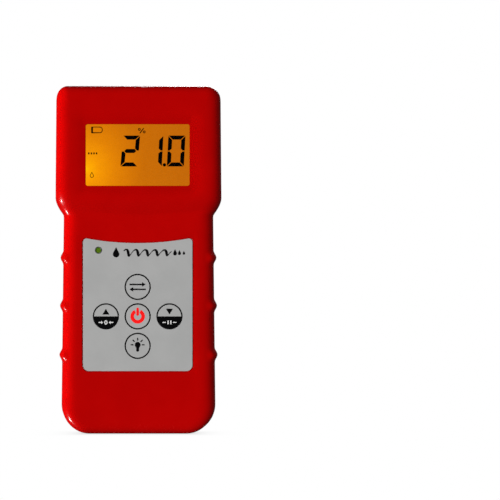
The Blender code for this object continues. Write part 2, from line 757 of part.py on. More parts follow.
def build_sensor():
    outline = rounded_rectangle(SENSOR_HALF_WIDTH, SENSOR_BOTTOM, SENSOR_TOP, SENSOR_CORNER, 4)
    plate = prism("sensor_plate", BLACK_PLASTIC, outline, SENSOR_FLOOR + FIT_GAP, SENSOR_FACE)
    bevel = plate.modifiers.new("edge", "BEVEL")
    bevel.width = 0.5 * MM
    bevel.segments = 2
    bevel.limit_method = "ANGLE"
    bevel.angle_limit = math.radians(60)
    width = (-ELECTRODE_HALF_WIDTH, ELECTRODE_HALF_WIDTH)
    box("sensor_electrode", COPPER, width, ELECTRODE_DEPTH, ELECTRODE_HEIGHT)


# ======================================================================
# Display and keypad
# ======================================================================


def build_display():
    half_width = WINDOW_SIZE[0] / 2 + LENS_MARGIN
    lens = rounded_rectangle(half_width, *around_window(WINDOW_SIZE[1] / 2 + LENS_MARGIN), WINDOW_CORNER)
    prism("lcd_window", CLEAR_LENS, lens, -LENS_FRONT, -LENS_FRONT + LENS_THICKNESS)
    x, z = GLASS_HALF_SIZE
    box("lcd_glass", LCD_GLASS, (-x, x), (-GLASS_FRONT, -GLASS_BACK), around_window(z))
    frame_depth = (-GLASS_FRONT, -BOARD_FRONT - SEAT_GAP)
    frame = rounded_rectangle(FRAME_HALF_SIZE[0], *around_window(FRAME_HALF_SIZE[1]), 1.2 * MM, 2)
    bezel = prism("lcd_frame", BLACK_PLASTIC, frame, *frame_depth)
    opening = (-x - FIT_GAP, x + FIT_GAP)
    cut(bezel, box("frame_opening", None, opening, (-HEAD_DEPTH, 0), around_window(z + FIT_GAP)))
    x, z = GUIDE_HALF_SIZE
    box("backlight_guide", AMBER_GUIDE, (-x, x), (-GLASS_BACK + FIT_GAP, -BACKLIGHT_BACK), around_window(z))
    width = (-ZEBRA_HALF_WIDTH, ZEBRA_HALF_WIDTH)
    depth = (-GLASS_BACK + SEAT_GAP, -BOARD_FRONT - SEAT_GAP)
    for side, offset in (("upper", ZEBRA_OFFSET), ("lower", -ZEBRA_OFFSET)):
        middle = WINDOW_Z + offset
        height = (middle - ZEBRA_HEIGHT / 2, middle + ZEBRA_HEIGHT / 2)
        box(f"zebra_strip_{side}", ZEBRA_RUBBER, width, depth, height)


def build_overlay():
    overlay = prism("keypad_overlay", OVERLAY_FILM, overlay_outline(), -OVERLAY_FRONT, -OVERLAY_BACK)
    radius = KEY_RADIUS + OVERLAY_HOLE_GAP
    for name in KEYS:
        hole = f"overlay_hole_{name}"
        cut(overlay, cylinder(hole, None, radius, THROUGH_FRONT, key_centre(name), KEY_SEGMENTS))
    cut(overlay, cylinder("overlay_led_hole", None, OVERLAY_LED_HOLE, THROUGH_FRONT, LED_POSITION, 16))


def build_key(name):
    """A key cell of the panel with its stalk."""
    x, z = key_centre(name)
    profile = [
        (0, -KEY_FRONT),
        (KEY_RADIUS - 0.4 * MM, -KEY_FRONT),
        (KEY_RADIUS, -KEY_FRONT + 0.25 * MM),
        (KEY_RADIUS, -KEY_BACK),
        (KEY_STALK_RADIUS, -KEY_BACK),
        (KEY_STALK_RADIUS, -KEY_STALK_END),
        (0, -KEY_STALK_END),
    ]
    turned(f"key_{name}", OVERLAY_FILM, profile, (x, 0, z), KEY_SEGMENTS)


def build_switch(name):
    """The tactile switch that a key presses: a square base, and a stem that sinks into its well."""
    x, z = key_centre(name)
    half = SWITCH_SIZE / 2
    base_depth = (-SWITCH_FRONT, -BOARD_FRONT - SEAT_GAP)
    base = box(f"switch_base_{name}", CHIP_BLACK, (x - half, x + half), base_depth, (z - half, z + half))
    well = STEM_RADIUS + FIT_GAP
    cut(base, cylinder(f"switch_well_{name}", None, well, (-SWITCH_FRONT - 1 * MM, -WELL_FLOOR), (x, z)))
    front = -KEY_STALK_END + OVERCUT
    back = -WELL_FLOOR - 2 * KEY_TRAVEL
    chamfer = 0.25 * MM
    profile = [
        (0, front),
        (STEM_RADIUS - chamfer, front),
        (STEM_RADIUS, front + chamfer),
        (STEM_RADIUS, back),
        (0, back),
    ]
    turned(f"switch_stem_{name}", BLACK_PLASTIC, profile, (x, 0, z), 14)


def build_indicator():
    """The green lamp that looks out through the hole in the panel, standing on two legs."""
    x, z = LED_POSITION
    dome = [
        (LED_RADIUS * math.sin(turn), -LED_TIP + LED_RADIUS * (1 - math.cos(turn)))
        for turn in (0, 0.4, 0.8, 1.2, math.pi / 2)
    ]
    rim = LED_RADIUS + 0.4 * MM
    profile = dome + [(LED_RADIUS, -LED_RIM[1]), (rim, -LED_RIM[1]), (rim, -LED_RIM[0]), (0, -LED_RIM[0])]
    lamp = turned("indicator_led", GREEN_LED, profile, (x, 0, z), 14)
    half = LED_LEG / 2
    for side, leg_x in (("left", x - LED_LEG_OFFSET), ("right", x + LED_LEG_OFFSET)):
        depth = (-LED_RIM[0] - 0.2 * MM, -BOARD_FRONT - SEAT_GAP)
        join(lamp, box(f"led_leg_{side}", None, (leg_x - half, leg_x + half), depth, (z - half, z + half)))


# ======================================================================
# Main board
# ======================================================================


def build_main_board():
    wide = BOARD_HEAD_HALF_WIDTH
    slim = BOARD_HANDLE_HALF_WIDTH
    corner = BOARD_CORNER
    right = [(slim, BOARD_BOTTOM), (slim, NECK_Z + 1 * MM), (wide, NECK_Z + 7 * MM)]
    right += arc((wide - corner, BOARD_TOP - corner), corner, 0, 90, 3)
    outline = right + [(-x, z) for x, z in reversed(right)]
    board = prism("main_board", BOARD_GREEN, outline, -BOARD_FRONT, -BOARD_BACK)
    for k, centre in enumerate(BOARD_SCREWS):
        cut(board, cylinder(f"board_hole_{k}", None, BOARD_SCREW_HOLE, (-2 * BOARD_FRONT, 0), centre, 12))
    for k, centre in enumerate(CASE_SCREWS[:2]):
        clearance = f"board_clearance_{k}"
        cut(board, cylinder(clearance, None, BOARD_PILLAR_HOLE, (-2 * BOARD_FRONT, 0), centre))


def build_chip(name, centre, size, rise, pins):
    """A moulded chip with gull-wing legs along its two long sides, on the back of the board."""
    x, z = centre
    half_x, half_z = size[0] / 2, size[1] / 2
    body = (COMPONENT_SEAT + 0.15 * MM, COMPONENT_SEAT + rise)
    chip = box(name, CHIP_BLACK, (x - half_x, x + half_x), body, (z - half_z, z + half_z))
    for side, mirror in (("left", -1), ("right", 1)):
        root = x + mirror * (half_x - 0.3 * MM)
        tip = x + mirror * (half_x + PIN_LENGTH)
        width = (min(root, tip), max(root, tip))
        for pin in range(pins):
            pin_z = z + (pin - (pins - 1) / 2) * PIN_PITCH
            height = (pin_z - PIN_HALF_WIDTH, pin_z + PIN_HALF_WIDTH)
            depth = (COMPONENT_SEAT, COMPONENT_SEAT + PIN_RISE)
            join(chip, box(f"{name}_{side}_{pin}", None, width, depth, height))


def build_coil():
    """The oscillator's drum core: two flanges with a winding between them."""
    flange = 4.5 * MM
    winding = 3.4 * MM
    rise = 6 * MM
    thickness = 1 * MM
    taper = 0.2 * MM
    profile = [
        (0, 0),
        (flange, 0),
        (flange, thickness),
        (winding, thickness + taper),
        (winding, rise - thickness - taper),
        (flange, rise - thickness),
        (flange, rise),
        (0, rise),
    ]
    turned("oscillator_coil", CHIP_BLACK, profile, (18 * MM, COMPONENT_SEAT, 124 * MM), 20)


def build_capacitor():
    """An aluminium can in its sleeve, with the crimped groove near its base."""
    radius = 3.15 * MM
    rise = 8.1 * MM
    groove = 1.3 * MM
    half_groove = 0.3 * MM
    profile = [
        (0, 0),
        (radius, 0),
        (radius, groove - half_groove),
        (radius - 0.25 * MM, groove),
        (radius, groove + half_groove),
        (radius, rise - 0.3 * MM),
        (radius - 0.35 * MM, rise),
        (0, rise),
    ]
    turned("reservoir_capacitor", CAPACITOR_SLEEVE, profile, (-20 * MM, COMPONENT_SEAT, 128 * MM), 16)


def build_trimmer():
    """A square trimming potentiometer with a screwdriver slot."""
    x, z = 16.3 * MM, 107.3 * MM
    half = 3.3 * MM
    top = COMPONENT_SEAT + 4.2 * MM
    trimmer = box("trimmer", TRIM_BLUE, (x - half, x + half), (COMPONENT_SEAT, top), (z - half, z + half))
    long = half - 1 * MM
    slim = 0.4 * MM
    depth = (top - 0.5 * MM, top + 1 * MM)
    cut(trimmer, box("trimmer_slot", None, (x - long, x + long), depth, (z - slim, z + slim)))


def build_board_parts():
    build_chip("microcontroller", (0, 118 * MM), (9 * MM, 12 * MM), 2.0 * MM, 8)
    build_chip("amplifier_chip", (-18 * MM, 112 * MM), (4 * MM, 5 * MM), 1.6 * MM, 4)
    can = rounded_rectangle(5.2 * MM, 131 * MM, 135.6 * MM, 2.2 * MM)
    prism("crystal", TIN, can, COMPONENT_SEAT, COMPONENT_SEAT + 3.4 * MM)
    build_coil()
    build_capacitor()
    build_trimmer()


# ======================================================================
# Batteries and contacts
# ======================================================================


def cell_x(number):
    """Cells are numbered 1 to 4 from -X."""
    return (number - 2.5) * CELL_PITCH


def build_cell(number):
    """A size AAA cell; odd cells have their nub up, even cells have it down."""
    up = number % 2 == 1
    radius = CELL_RADIUS
    length = CELL_LENGTH
    profile = [
        (0, 0),
        (radius - 0.9 * MM, 0),
        (radius - 0.3 * MM, 0.25 * MM),
        (radius, 0.7 * MM),
        (radius, length - 0.7 * MM),
        (radius - 0.5 * MM, length),
        (CELL_NUB_RADIUS, length),
        (CELL_NUB_RADIUS, length + CELL_NUB),
        (0, length + CELL_NUB),
    ]
    if up:
        bottom = BAY_TOP - CELL_CLEARANCE - length - CELL_NUB
        levels = [(r, bottom + z) for r, z in profile]
    else:
        top = BAY_BOTTOM + CELL_CLEARANCE + length + CELL_NUB
        levels = [(r, top - z) for r, z in profile]
    turned(f"battery_cell_{number}", CELL_JACKET, levels, (cell_x(number), CELL_Y, 0), 18, upright=True)


def build_spring(number):
    """The conical coil that presses on a cell's flat end."""
    low = BAY_BOTTOM + 1.35 * MM
    high = BAY_TOP - CELL_CLEARANCE - CELL_LENGTH - CELL_NUB - 0.5 * MM
    if number % 2 == 0:
        low, high = BAY_BOTTOM + BAY_TOP - low, BAY_BOTTOM + BAY_TOP - high
    curve = bpy.data.curves.new(f"cell_spring_{number}", "CURVE")
    curve.dimensions = "3D"
    curve.bevel_depth = SPRING_WIRE
    curve.bevel_resolution = 0
    curve.use_fill_caps = True
    spline = curve.splines.new("POLY")
    spline.points.add(SPRING_TURNS * SPRING_STEPS)
    for k, point in enumerate(spline.points):
        share = k / (SPRING_TURNS * SPRING_STEPS)
        radius = SPRING_BASE_RADIUS + (SPRING_TIP_RADIUS - SPRING_BASE_RADIUS) * share
        turn = 2 * math.pi * k / SPRING_STEPS
        point.co = (radius * math.cos(turn), radius * math.sin(turn), low + (high - low) * share, 1)
    curve.materials.append(material(STEEL))
    spring = bpy.data.objects.new(f"cell_spring_{number}", curve)
    spring.location = (cell_x(number), CELL_Y, 0)
    bpy.context.scene.collection.objects.link(spring)


def build_contact(name, first, last, at_top, tail):
    """A nickel plate on an end wall of the bay, from one cell to another, with or without a solder tail."""
    x = (cell_x(first) - CONTACT_HALF_WIDTH, cell_x(last) + CONTACT_HALF_WIDTH)
    y = (CELL_Y - CONTACT_HALF_WIDTH + 0.1 * MM, CELL_Y + CONTACT_HALF_WIDTH - 0.1 * MM)
    low = BAY_TOP - FIT_GAP - CONTACT_THICKNESS if at_top else BAY_BOTTOM + FIT_GAP
    plate = box(name, TIN, x, y, (low, low + CONTACT_THICKNESS))
    if tail:
        width = (cell_x(first) - TAIL_HALF_WIDTH, cell_x(first) + TAIL_HALF_WIDTH)
        height = (low + CONTACT_THICKNESS / 2, BAY_TOP + 3.2 * MM)
        join(plate, box(f"{name}_tail", None, width, TAIL_DEPTH, height))


def build_battery_contacts():
    build_contact("contact_positive", 1, 1, True, True)
    build_contact("contact_negative", 4, 4, True, True)
    build_contact("contact_bridge_upper", 2, 3, True, False)
    build_contact("contact_bridge_left", 1, 2, False, False)
    build_contact("contact_bridge_right", 3, 4, False, False)


def build_wires():
    board = -BOARD_BACK + FIT_GAP
    for name, spec, number in (("battery_wire_red", WIRE_RED, 1), ("battery_wire_black", WIRE_BLACK, 4)):
        x = cell_x(number)
        inward = 4 * MM if number == 1 else -4 * MM
        points = [
            (x, 5.4 * MM, BAY_TOP + 3.6 * MM),
            (x + inward / 3, 4.5 * MM, BAY_TOP + 7 * MM),
            (x + inward, 0.8 * MM, BAY_TOP + 9 * MM),
            (x + inward, board, BAY_TOP + 9 * MM),
        ]
        tube(name, spec, points, CABLE_RADIUS)
    points = [
        (0, ELECTRODE_DEPTH[0] - FIT_GAP, 103 * MM),
        (1 * MM, 8 * MM, 102 * MM),
        (2 * MM, 2 * MM, 97 * MM),
        (0, board, 96 * MM),
    ]
    tube("sensor_wire", WIRE_BLACK, points, CABLE_RADIUS)


# ======================================================================
# Fasteners
# ======================================================================


def build_screw(name, centre, seat, head, shank):
    """A pan-head screw with a cross slot, its head at +Y; head and shank are (radius, length)."""
    x, z = centre
    head_radius, head_height = head
    shank_radius, shank_length = shank
    profile = [
        (0, seat + head_height),
        (head_radius * 0.75, seat + head_height),
        (head_radius, seat + head_height * 0.55),
        (head_radius, seat),
        (shank_radius, seat),
        (shank_radius, seat - shank_length * 0.8),
        (0, seat - shank_length),
    ]
    screw = turned(name, STEEL, profile, (x, 0, z), 12)
    long = head_radius * 0.6
    slim = head_radius * 0.13
    deep = (seat + head_height * 0.4, seat + head_height * 2)
    across = box(f"{name}_slot_across", None, (x - long, x + long), deep, (z - slim, z + slim))
    upright = box(f"{name}_slot_upright", None, (x - slim, x + slim), deep, (z - long, z + long))
    cut(screw, across, upright)


def build_screws():
    for k, centre in enumerate(CASE_SCREWS, 1):
        build_screw(f"case_screw_{k}", centre, SCREW_SEAT + SEAT_GAP, CASE_SCREW_HEAD, CASE_SCREW_SHANK)
    for k, centre in enumerate(BOARD_SCREWS, 1):
        build_screw(f"board_screw_{k}", centre, COMPONENT_SEAT, BOARD_SCREW_HEAD, BOARD_SCREW_SHANK)


def main():
    clear_scene()
    build_front_shell()
    build_rear_shell()
    build_battery_door()
    build_sensor()
    build_display()
    build_overlay()
    for name in KEYS:
        build_key(name)
        build_switch(name)
    build_indicator()
    build_main_board()
    build_board_parts()
    for number in (1, 2, 3, 4):
        build_cell(number)
        build_spring(number)
    build_battery_contacts()
    build_wires()
    build_screws()


main()
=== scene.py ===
"""Looks of the moisture meter: fine casing, display, keypad, battery bay and materials round the CAD frame.

Metres, +Z up; the display faces -Y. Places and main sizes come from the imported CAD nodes.
"""

import math

import bmesh
import bpy
from mathutils import Matrix, Vector


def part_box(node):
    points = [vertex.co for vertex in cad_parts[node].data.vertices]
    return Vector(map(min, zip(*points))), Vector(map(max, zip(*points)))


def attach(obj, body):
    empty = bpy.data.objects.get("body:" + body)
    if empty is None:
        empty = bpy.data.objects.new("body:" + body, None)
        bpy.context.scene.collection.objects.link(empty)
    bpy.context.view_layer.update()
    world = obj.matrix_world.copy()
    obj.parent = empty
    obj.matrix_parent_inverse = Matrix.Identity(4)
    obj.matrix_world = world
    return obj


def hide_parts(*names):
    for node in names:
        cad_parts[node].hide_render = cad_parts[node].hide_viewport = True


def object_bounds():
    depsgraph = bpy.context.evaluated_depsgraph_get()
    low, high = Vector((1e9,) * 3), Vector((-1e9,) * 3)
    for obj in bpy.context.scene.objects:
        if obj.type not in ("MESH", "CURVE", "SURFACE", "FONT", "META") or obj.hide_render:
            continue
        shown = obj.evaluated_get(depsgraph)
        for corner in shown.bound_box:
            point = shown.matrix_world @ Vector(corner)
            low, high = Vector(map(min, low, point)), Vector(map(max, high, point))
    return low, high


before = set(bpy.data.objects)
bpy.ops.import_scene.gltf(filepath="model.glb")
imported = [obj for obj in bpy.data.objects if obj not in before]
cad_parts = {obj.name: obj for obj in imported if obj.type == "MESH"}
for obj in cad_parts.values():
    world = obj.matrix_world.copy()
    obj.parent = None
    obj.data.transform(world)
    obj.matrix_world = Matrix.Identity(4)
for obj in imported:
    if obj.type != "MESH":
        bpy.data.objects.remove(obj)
cad_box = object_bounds()

MM = 0.001


def low(node):
    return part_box(node)[0]


def high(node):
    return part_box(node)[1]


def middle(node):
    return (low(node) + high(node)) / 2


# ---- casing, from the frame ----
BODY_HEIGHT = cad_box[1].z
HEAD_HALF_WIDTH = cad_box[1].x
HEAD_DEPTH = -low("front_shell").y
BACK_DEPTH = high("rear_shell").y

# ---- casing outline and sections ----
CROWN_HALF_WIDTH = HEAD_HALF_WIDTH - 0.4 * MM
NECK_HALF_WIDTH = 32.4 * MM
FOOT_HALF_WIDTH = 33.5 * MM
NECK_Z = 94.4 * MM
SHOULDER_Z = 101.8 * MM
FOOT_CORNER = 12.5 * MM
CROWN_CORNER = 5.5 * MM
RIB_HEIGHTS = (33.9 * MM, 55.2 * MM, 76.0 * MM)
RIB_REACH = 1.2 * MM
RIB_HALF_LENGTH = 3.2 * MM
EDGE_EASE = 1.2  # above 1, the rounded edge runs into the face with no sudden change of curve
RIB_FADE = (32, 56)  # degrees round the long edge over which a rib sinks in
HANDLE_DEPTH = 12.5 * MM
RAMP_LENGTH = 9 * MM
RAMP_SAG = 2.6 * MM
DRAFT = 0.4 * MM
FRONT_EDGE = 7.0 * MM
FRONT_END_EDGE = 4.5 * MM
BACK_EDGE = 4.5 * MM
WALL = 2.2 * MM
HEAD_INNER_DEPTH = 12.5 * MM
HANDLE_INNER_DEPTH = 10.3 * MM
BACK_INNER_DEPTH = 11.4 * MM
PARTING_GAP = 0.15 * MM  # each shell stops this far from the parting plane
RIM_ROUND = 0.3 * MM
MOUTH_ROUND = 0.35 * MM  # rounding where a pocket opens
MOUTH_TURN = 60  # degrees of that rounding before the cutter runs on straight
FIT_GAP = 0.3 * MM

# ---- display ----
LENS_MARGIN = 2.2 * MM  # the lens runs this far behind the casing
WINDOW_HALF_WIDTH = high("lcd_window").x - LENS_MARGIN
WINDOW_HALF_HEIGHT = (high("lcd_window").z - low("lcd_window").z) / 2 - LENS_MARGIN
WINDOW_Z = middle("lcd_window").z
WINDOW_CORNER = 0.9 * MM
BASIN_FLOOR = 13.7 * MM
BASIN_WIDTHS = {"side": 6.6 * MM, "top": 6.6 * MM, "bottom": 7.0 * MM}

# ---- keypad ----
PANEL_HALF_WIDTH = high("keypad_overlay").x
PANEL_BOTTOM = low("keypad_overlay").z
PANEL_TOP = high("keypad_overlay").z
PANEL_FRONT = -low("keypad_overlay").y
PANEL_BACK = -high("keypad_overlay").y
PANEL_SAG = 2.0 * MM
PANEL_FOOT_CORNER = 2.6 * MM
PANEL_TOP_CORNER = 1.6 * MM
PANEL_EDGE = 0.12 * MM
POCKET_FLOOR = 11.4 * MM
POCKET_SLOPE = 0.25 * MM  # the face dips by this much towards the panel's pocket
POCKET_SLOPE_WIDTH = 2.2 * MM
KEYS = {name: middle(f"key_{name}") for name in ("function", "zero", "power", "hold", "light")}
KEY_RADIUS = high("key_power").x - middle("key_power").x
KEY_FRONT = -low("key_power").y
KEY_STALK_END = -high("key_power").y
KEY_STALK_RADIUS = 3.6 * MM
KEY_HOLE_RADIUS = 4.3 * MM
KEY_BACK = POCKET_FLOOR + FIT_GAP + 0.05 * MM
KEY_RING_WIDTH = 0.40 * MM
KEY_GAP = 0.2 * MM
LAMP = middle("indicator_led")
LAMP_RADIUS = 1.5 * MM
INK = 0.03 * MM  # thickness of a printed mark

# ---- rear ----
DOOR_HALF_WIDTH = high("battery_door").x
DOOR_BOTTOM = 13.0 * MM
DOOR_TOP = high("battery_door").z
DOOR_INNER = 12.0 * MM
DOOR_CORNER = 2.0 * MM
HOOK_X = 15 * MM
SENSOR_HALF_WIDTH = high("sensor_plate").x
SENSOR_BOTTOM = low("sensor_plate").z
SENSOR_TOP = high("sensor_plate").z
SENSOR_FACE = high("sensor_plate").y
SENSOR_INNER = low("sensor_plate").y
SENSOR_CORNER = 2.2 * MM
BAY_HALF_WIDTH = 21.8 * MM
BAY_BOTTOM = 17.0 * MM
BAY_TOP = 66.0 * MM
BAY_FLOOR = -0.2 * MM
BAY_WALL = 1.5 * MM
LEDGE_WIDTH = 2.3 * MM
LEDGE_INNER = 10.2 * MM
INTO_WALL = 12.0 * MM
OUTSIDE_BACK = 20 * MM
SCREW_SEAT = 7.0 * MM
PILLAR_MEET = 2.0 * MM
CASE_SCREWS = [middle(f"case_screw_{k}") for k in (1, 2, 3, 4)]
BOARD_SCREWS = [middle(f"board_screw_{k}") for k in (1, 2, 3, 4)]
BOARD_FRONT = -low("main_board").y


# ---- Small mesh tools ----


def smoothstep(value, start=0.0, end=1.0):
    share = min(max((value - start) / (end - start), 0), 1)
    return share * share * (3 - 2 * share)


def soft_positive(value, width):
    """max(value, 0) with its corner rounded over width."""
    return (value + math.sqrt(value * value + width * width)) / 2


def arc(centre, radius, start, end, steps):
    turns = [math.radians(start + (end - start) * k / steps) for k in range(steps + 1)]
    return [(centre[0] + radius * math.cos(t), centre[1] + radius * math.sin(t)) for t in turns]


def circle(centre, radius, steps=48):
    return arc(centre, radius, 0, 360, steps)[:-1]


def rounded_rectangle(half_width, bottom, top, radius, steps=8, centre_x=0.0):
    points = []
    for x_side, z, start in ((1, top, 0), (-1, top, 90), (-1, bottom, 180), (1, bottom, 270)):
        centre_z = z - radius if z == top else z + radius
        centre = (centre_x + x_side * (half_width - radius), centre_z)
        points += arc(centre, radius, start, start + 90, steps)
    return points


def smooth(mesh, degrees):
    mesh.shade_smooth()
    mesh.set_sharp_from_angle(angle=math.radians(degrees))


def link(name, data):
    obj = bpy.data.objects.new(name, data)
    bpy.context.scene.collection.objects.link(obj)
    return obj


def place(bm, name, smooth_angle=35):
    """Turns a bmesh into a linked object with smooth shading up to an angle."""
    bmesh.ops.recalc_face_normals(bm, faces=bm.faces)
    mesh = bpy.data.meshes.new(name)
    bm.to_mesh(mesh)
    bm.free()
    smooth(mesh, smooth_angle)
    return link(name, mesh)


def skin(bm, rings, closed=True):
    """Quads between successive rings of equal length."""
    for first, second in zip(rings, rings[1:]):
        count = len(first)
        for k in range(count if closed else count - 1):
            other = (k + 1) % count
            bm.faces.new((first[k], first[other], second[other], second[k]))


def loft(name, outline, profile):
    """A closed body: outline(offset) gives the (x, z) ring for each (offset, y) of the profile."""
    bm = bmesh.new()
    rings = [[bm.verts.new((x, y, z)) for x, z in outline(offset)] for offset, y in profile]
    skin(bm, rings)
    bm.faces.new(rings[0])
    bm.faces.new(rings[-1])
    return place(bm, name)


def turned(name, profile, segments=48, centre=(0, 0, 0), upright=False):
    """A solid of revolution from (radius, height) points, along Y, or along Z if upright."""
    bm = bmesh.new()
    rings = []
    for radius, level in profile:
        turns = [2 * math.pi * k / segments for k in range(segments if radius else 1)]
        rings.append([bm.verts.new((radius * math.cos(t), level, radius * math.sin(t))) for t in turns])
    for first, second in zip(rings, rings[1:]):
        for k in range(segments):
            ends = ((first, k), (first, k + 1), (second, k + 1), (second, k))
            corners = [ring[j % len(ring)] for ring, j in ends]
            bm.faces.new(list(dict.fromkeys(corners)))
    if upright:
        bmesh.ops.rotate(bm, verts=bm.verts, matrix=Matrix.Rotation(math.pi / 2, 3, "X"))
    bmesh.ops.translate(bm, verts=bm.verts, vec=centre)
    return place(bm, name)


def rod(name, radius, y, centre, segments=32):
    profile = [(0, y[0]), (radius, y[0]), (radius, y[1]), (0, y[1])]
    return turned(name, profile, segments, (centre[0], 0, centre[1]))


def rods(name, radius, y, centres, segments=32):
    return [rod(f"{name}_{k}", radius, y, (c.x, c.z), segments) for k, c in enumerate(centres)]


def quarter(steps, first=0):
    """(sine, cosine) pairs through a quarter turn, starting at step first."""
    turns = [math.pi / 2 * k / steps for k in range(first, steps + 1)]
    return [(math.sin(turn), math.cos(turn)) for turn in turns]


def block(name, x, y, z):
    bm = bmesh.new()
    size = Matrix.Diagonal((x[1] - x[0], y[1] - y[0], z[1] - z[0], 1))
    centre = Matrix.Translation(((x[0] + x[1]) / 2, (y[0] + y[1]) / 2, (z[0] + z[1]) / 2))
    bmesh.ops.create_cube(bm, size=1, matrix=centre @ size)
    return place(bm, name)


def mouth_profile(face, floor, radius=MOUTH_ROUND):
    """(offset, depth) of a pocket cutter whose mouth is rounded where it meets a face at that depth."""
    top = math.sin(math.radians(MOUTH_TURN))
    points = [(0, floor)]
    for turn in range(0, MOUTH_TURN + 1, 15):
        angle = math.radians(turn)
        points.append((radius * (1 - math.cos(angle)), face + radius * (math.sin(angle) - top)))
    offset, depth = points[-1]
    run = 1.2 * MM
    points.append((offset + run * top, depth + run * math.cos(math.radians(MOUTH_TURN))))
    return points


def pocket(name, side, outline, face, floor, radius=MOUTH_ROUND):
    """A cutter that opens a pocket, with a rounded mouth, from the face inwards to the floor."""
    profile = mouth_profile(face, floor, radius)
    return loft(name, outline, [(offset, side * depth) for offset, depth in profile])


def circle_outline(centre, radius, steps=64):
    return lambda offset: circle(centre, radius + offset, steps)


def rectangle_outline(half_width, bottom, top, corner, steps=8):
    return lambda offset: rounded_rectangle(
        half_width + offset, bottom - offset, top + offset, corner + offset, steps
    )


def edge_profile(back, front, radius, steps=4):
    """(offset, y) of a plate with its front edge rounded; y runs from back to front."""
    away = 1 if front > back else -1
    rounded = [(radius * (c - 1), front - away * radius * (1 - s)) for s, c in quarter(steps)]
    return [(0, back)] + rounded


def apply_solids(target, operation, others):
    """Adds or cuts all the other solids in one exact Boolean, and deletes them."""
    group = bpy.data.collections.new(f"{target.name}_{operation.lower()}")
    for other in others:
        group.objects.link(other)
    modifier = target.modifiers.new("solids", "BOOLEAN")
    modifier.operation = operation
    modifier.solver = "EXACT"
    modifier.operand_type = "COLLECTION"
    modifier.collection = group
    bpy.context.view_layer.update()
    graph = bpy.context.evaluated_depsgraph_get()
    mesh = bpy.data.meshes.new_from_object(target.evaluated_get(graph), depsgraph=graph)
    old = target.data
    target.modifiers.clear()
    target.data = mesh
    bpy.data.meshes.remove(old)
    for other in others:
        bpy.data.objects.remove(other)
    bpy.data.collections.remove(group)


def smooth_finish(obj, angle=32):
    """Smooth shading that keeps real creases, with flat faces weighted over slivers."""
    smooth(obj.data, angle)
    weighted = obj.modifiers.new("normals", "WEIGHTED_NORMAL")
    weighted.keep_sharp = True
    weighted.weight = 80


def seat(obj, body, slot, *nodes):
    """Makes a piece ride on a body and stand for CAD nodes; the slot argument is not used."""
    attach(obj, body)
    if nodes:
        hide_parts(*nodes)
    return obj


# ---- Materials ----


class Nodes:
    """Builds one procedural material, node by node, in object coordinates of real size."""

    def __init__(self, name):
        self.material = bpy.data.materials.new(name)
        self.material.use_nodes = True
        self.tree = self.material.node_tree
        self.shader = self.tree.nodes["Principled BSDF"]
        self.place = self.add("TexCoord").outputs["Object"]

    def add(self, kind, inputs=(), **settings):
        """Adds a node; each of its inputs is a value, a colour or another node's output."""
        node = self.tree.nodes.new("ShaderNode" + kind)
        for key, value in settings.items():
            setattr(node, key, value)
        for key, value in dict(inputs).items():
            self.put(node.inputs[key], value)
        return node

    def put(self, socket, value):
        if hasattr(value, "links"):
            self.tree.links.new(value, socket)
        else:
            socket.default_value = (*value, 1) if socket.type == "RGBA" else value

    def noise(self, per_metre, detail=3.0, roughness=0.55, vector=None):
        inputs = {"Scale": per_metre, "Detail": detail, "Roughness": roughness}
        return self.add("TexNoise", {"Vector": vector or self.place, **inputs}).outputs["Fac"]

    def stretched(self, x, y, z):
        return self.add("Mapping", {"Vector": self.place, "Scale": (x, y, z)}).outputs["Vector"]

    def cells(self, per_metre):
        return self.add("TexVoronoi", {"Vector": self.place, "Scale": per_metre}).outputs["Distance"]

    def ramp(self, value, first=0.0, last=1.0, start=0.3, end=0.7):
        inputs = {"Value": value, "From Min": start, "From Max": end, "To Min": first, "To Max": last}
        return self.add("MapRange", inputs, interpolation_type="SMOOTHSTEP").outputs["Result"]

    def math(self, operation, first, second=0.0):
        return self.add("Math", {0: first, 1: second}, operation=operation).outputs[0]

    def times(self, first, second):
        return self.math("MULTIPLY", first, second)

    def plus(self, first, second, share):
        """first + second * share"""
        return self.math("ADD", first, self.times(second, share))

    def hypot(self, first, second):
        return self.math("SQRT", self.plus(self.times(first, first), second, second))

    def mix(self, share, first, second):
        return self.add("Mix", {"Factor": share, 6: first, 7: second}, data_type="RGBA").outputs[2]

    def axis(self, name):
        return self.add("SeparateXYZ", {0: self.place}).outputs[name]

    def attribute(self, name):
        return self.add("Attribute", attribute_name=name).outputs["Fac"]

    def bump(self, height, distance, strength=0.5):
        node = self.add("Bump", {"Height": height, "Distance": distance, "Strength": strength})
        self.put(self.shader.inputs["Normal"], node.outputs["Normal"])

    def set(self, **values):
        for key, value in values.items():
            self.put(self.shader.inputs[key.replace("_", " ")], value)
        return self.material


def red_plastic():
    """Moulded satin ABS: slight colour drift, a fine spark-eroded grain, and rubbed, paler high spots."""
    m = Nodes("moulded_red")
    drift = m.ramp(m.noise(60, 2))
    grain = m.noise(5200, 2, 0.5)
    flow = m.noise(240, 3)
    rubbed = m.times(m.attribute("wear"), m.ramp(m.noise(900, 4, 0.7), start=0.45, end=0.66))
    scratch = m.ramp(m.noise(300, 5, 0.8, m.stretched(1.0, 1.0, 9.0)), start=0.66, end=0.74)
    colour = m.mix(drift, (0.565, 0.0003, 0.0002), (0.610, 0.0005, 0.0003))
    colour = m.mix(m.times(rubbed, 0.35), colour, (0.68, 0.008, 0.006))
    rough = m.plus(m.plus(m.ramp(flow, 0.20, 0.26), rubbed, 0.14), scratch, 0.05)
    m.bump(m.plus(m.plus(grain, flow, 0.6), scratch, -0.5), 0.006 * MM)
    return m.set(Base_Color=colour, Roughness=rough, IOR=1.46, Specular_IOR_Level=0.32)


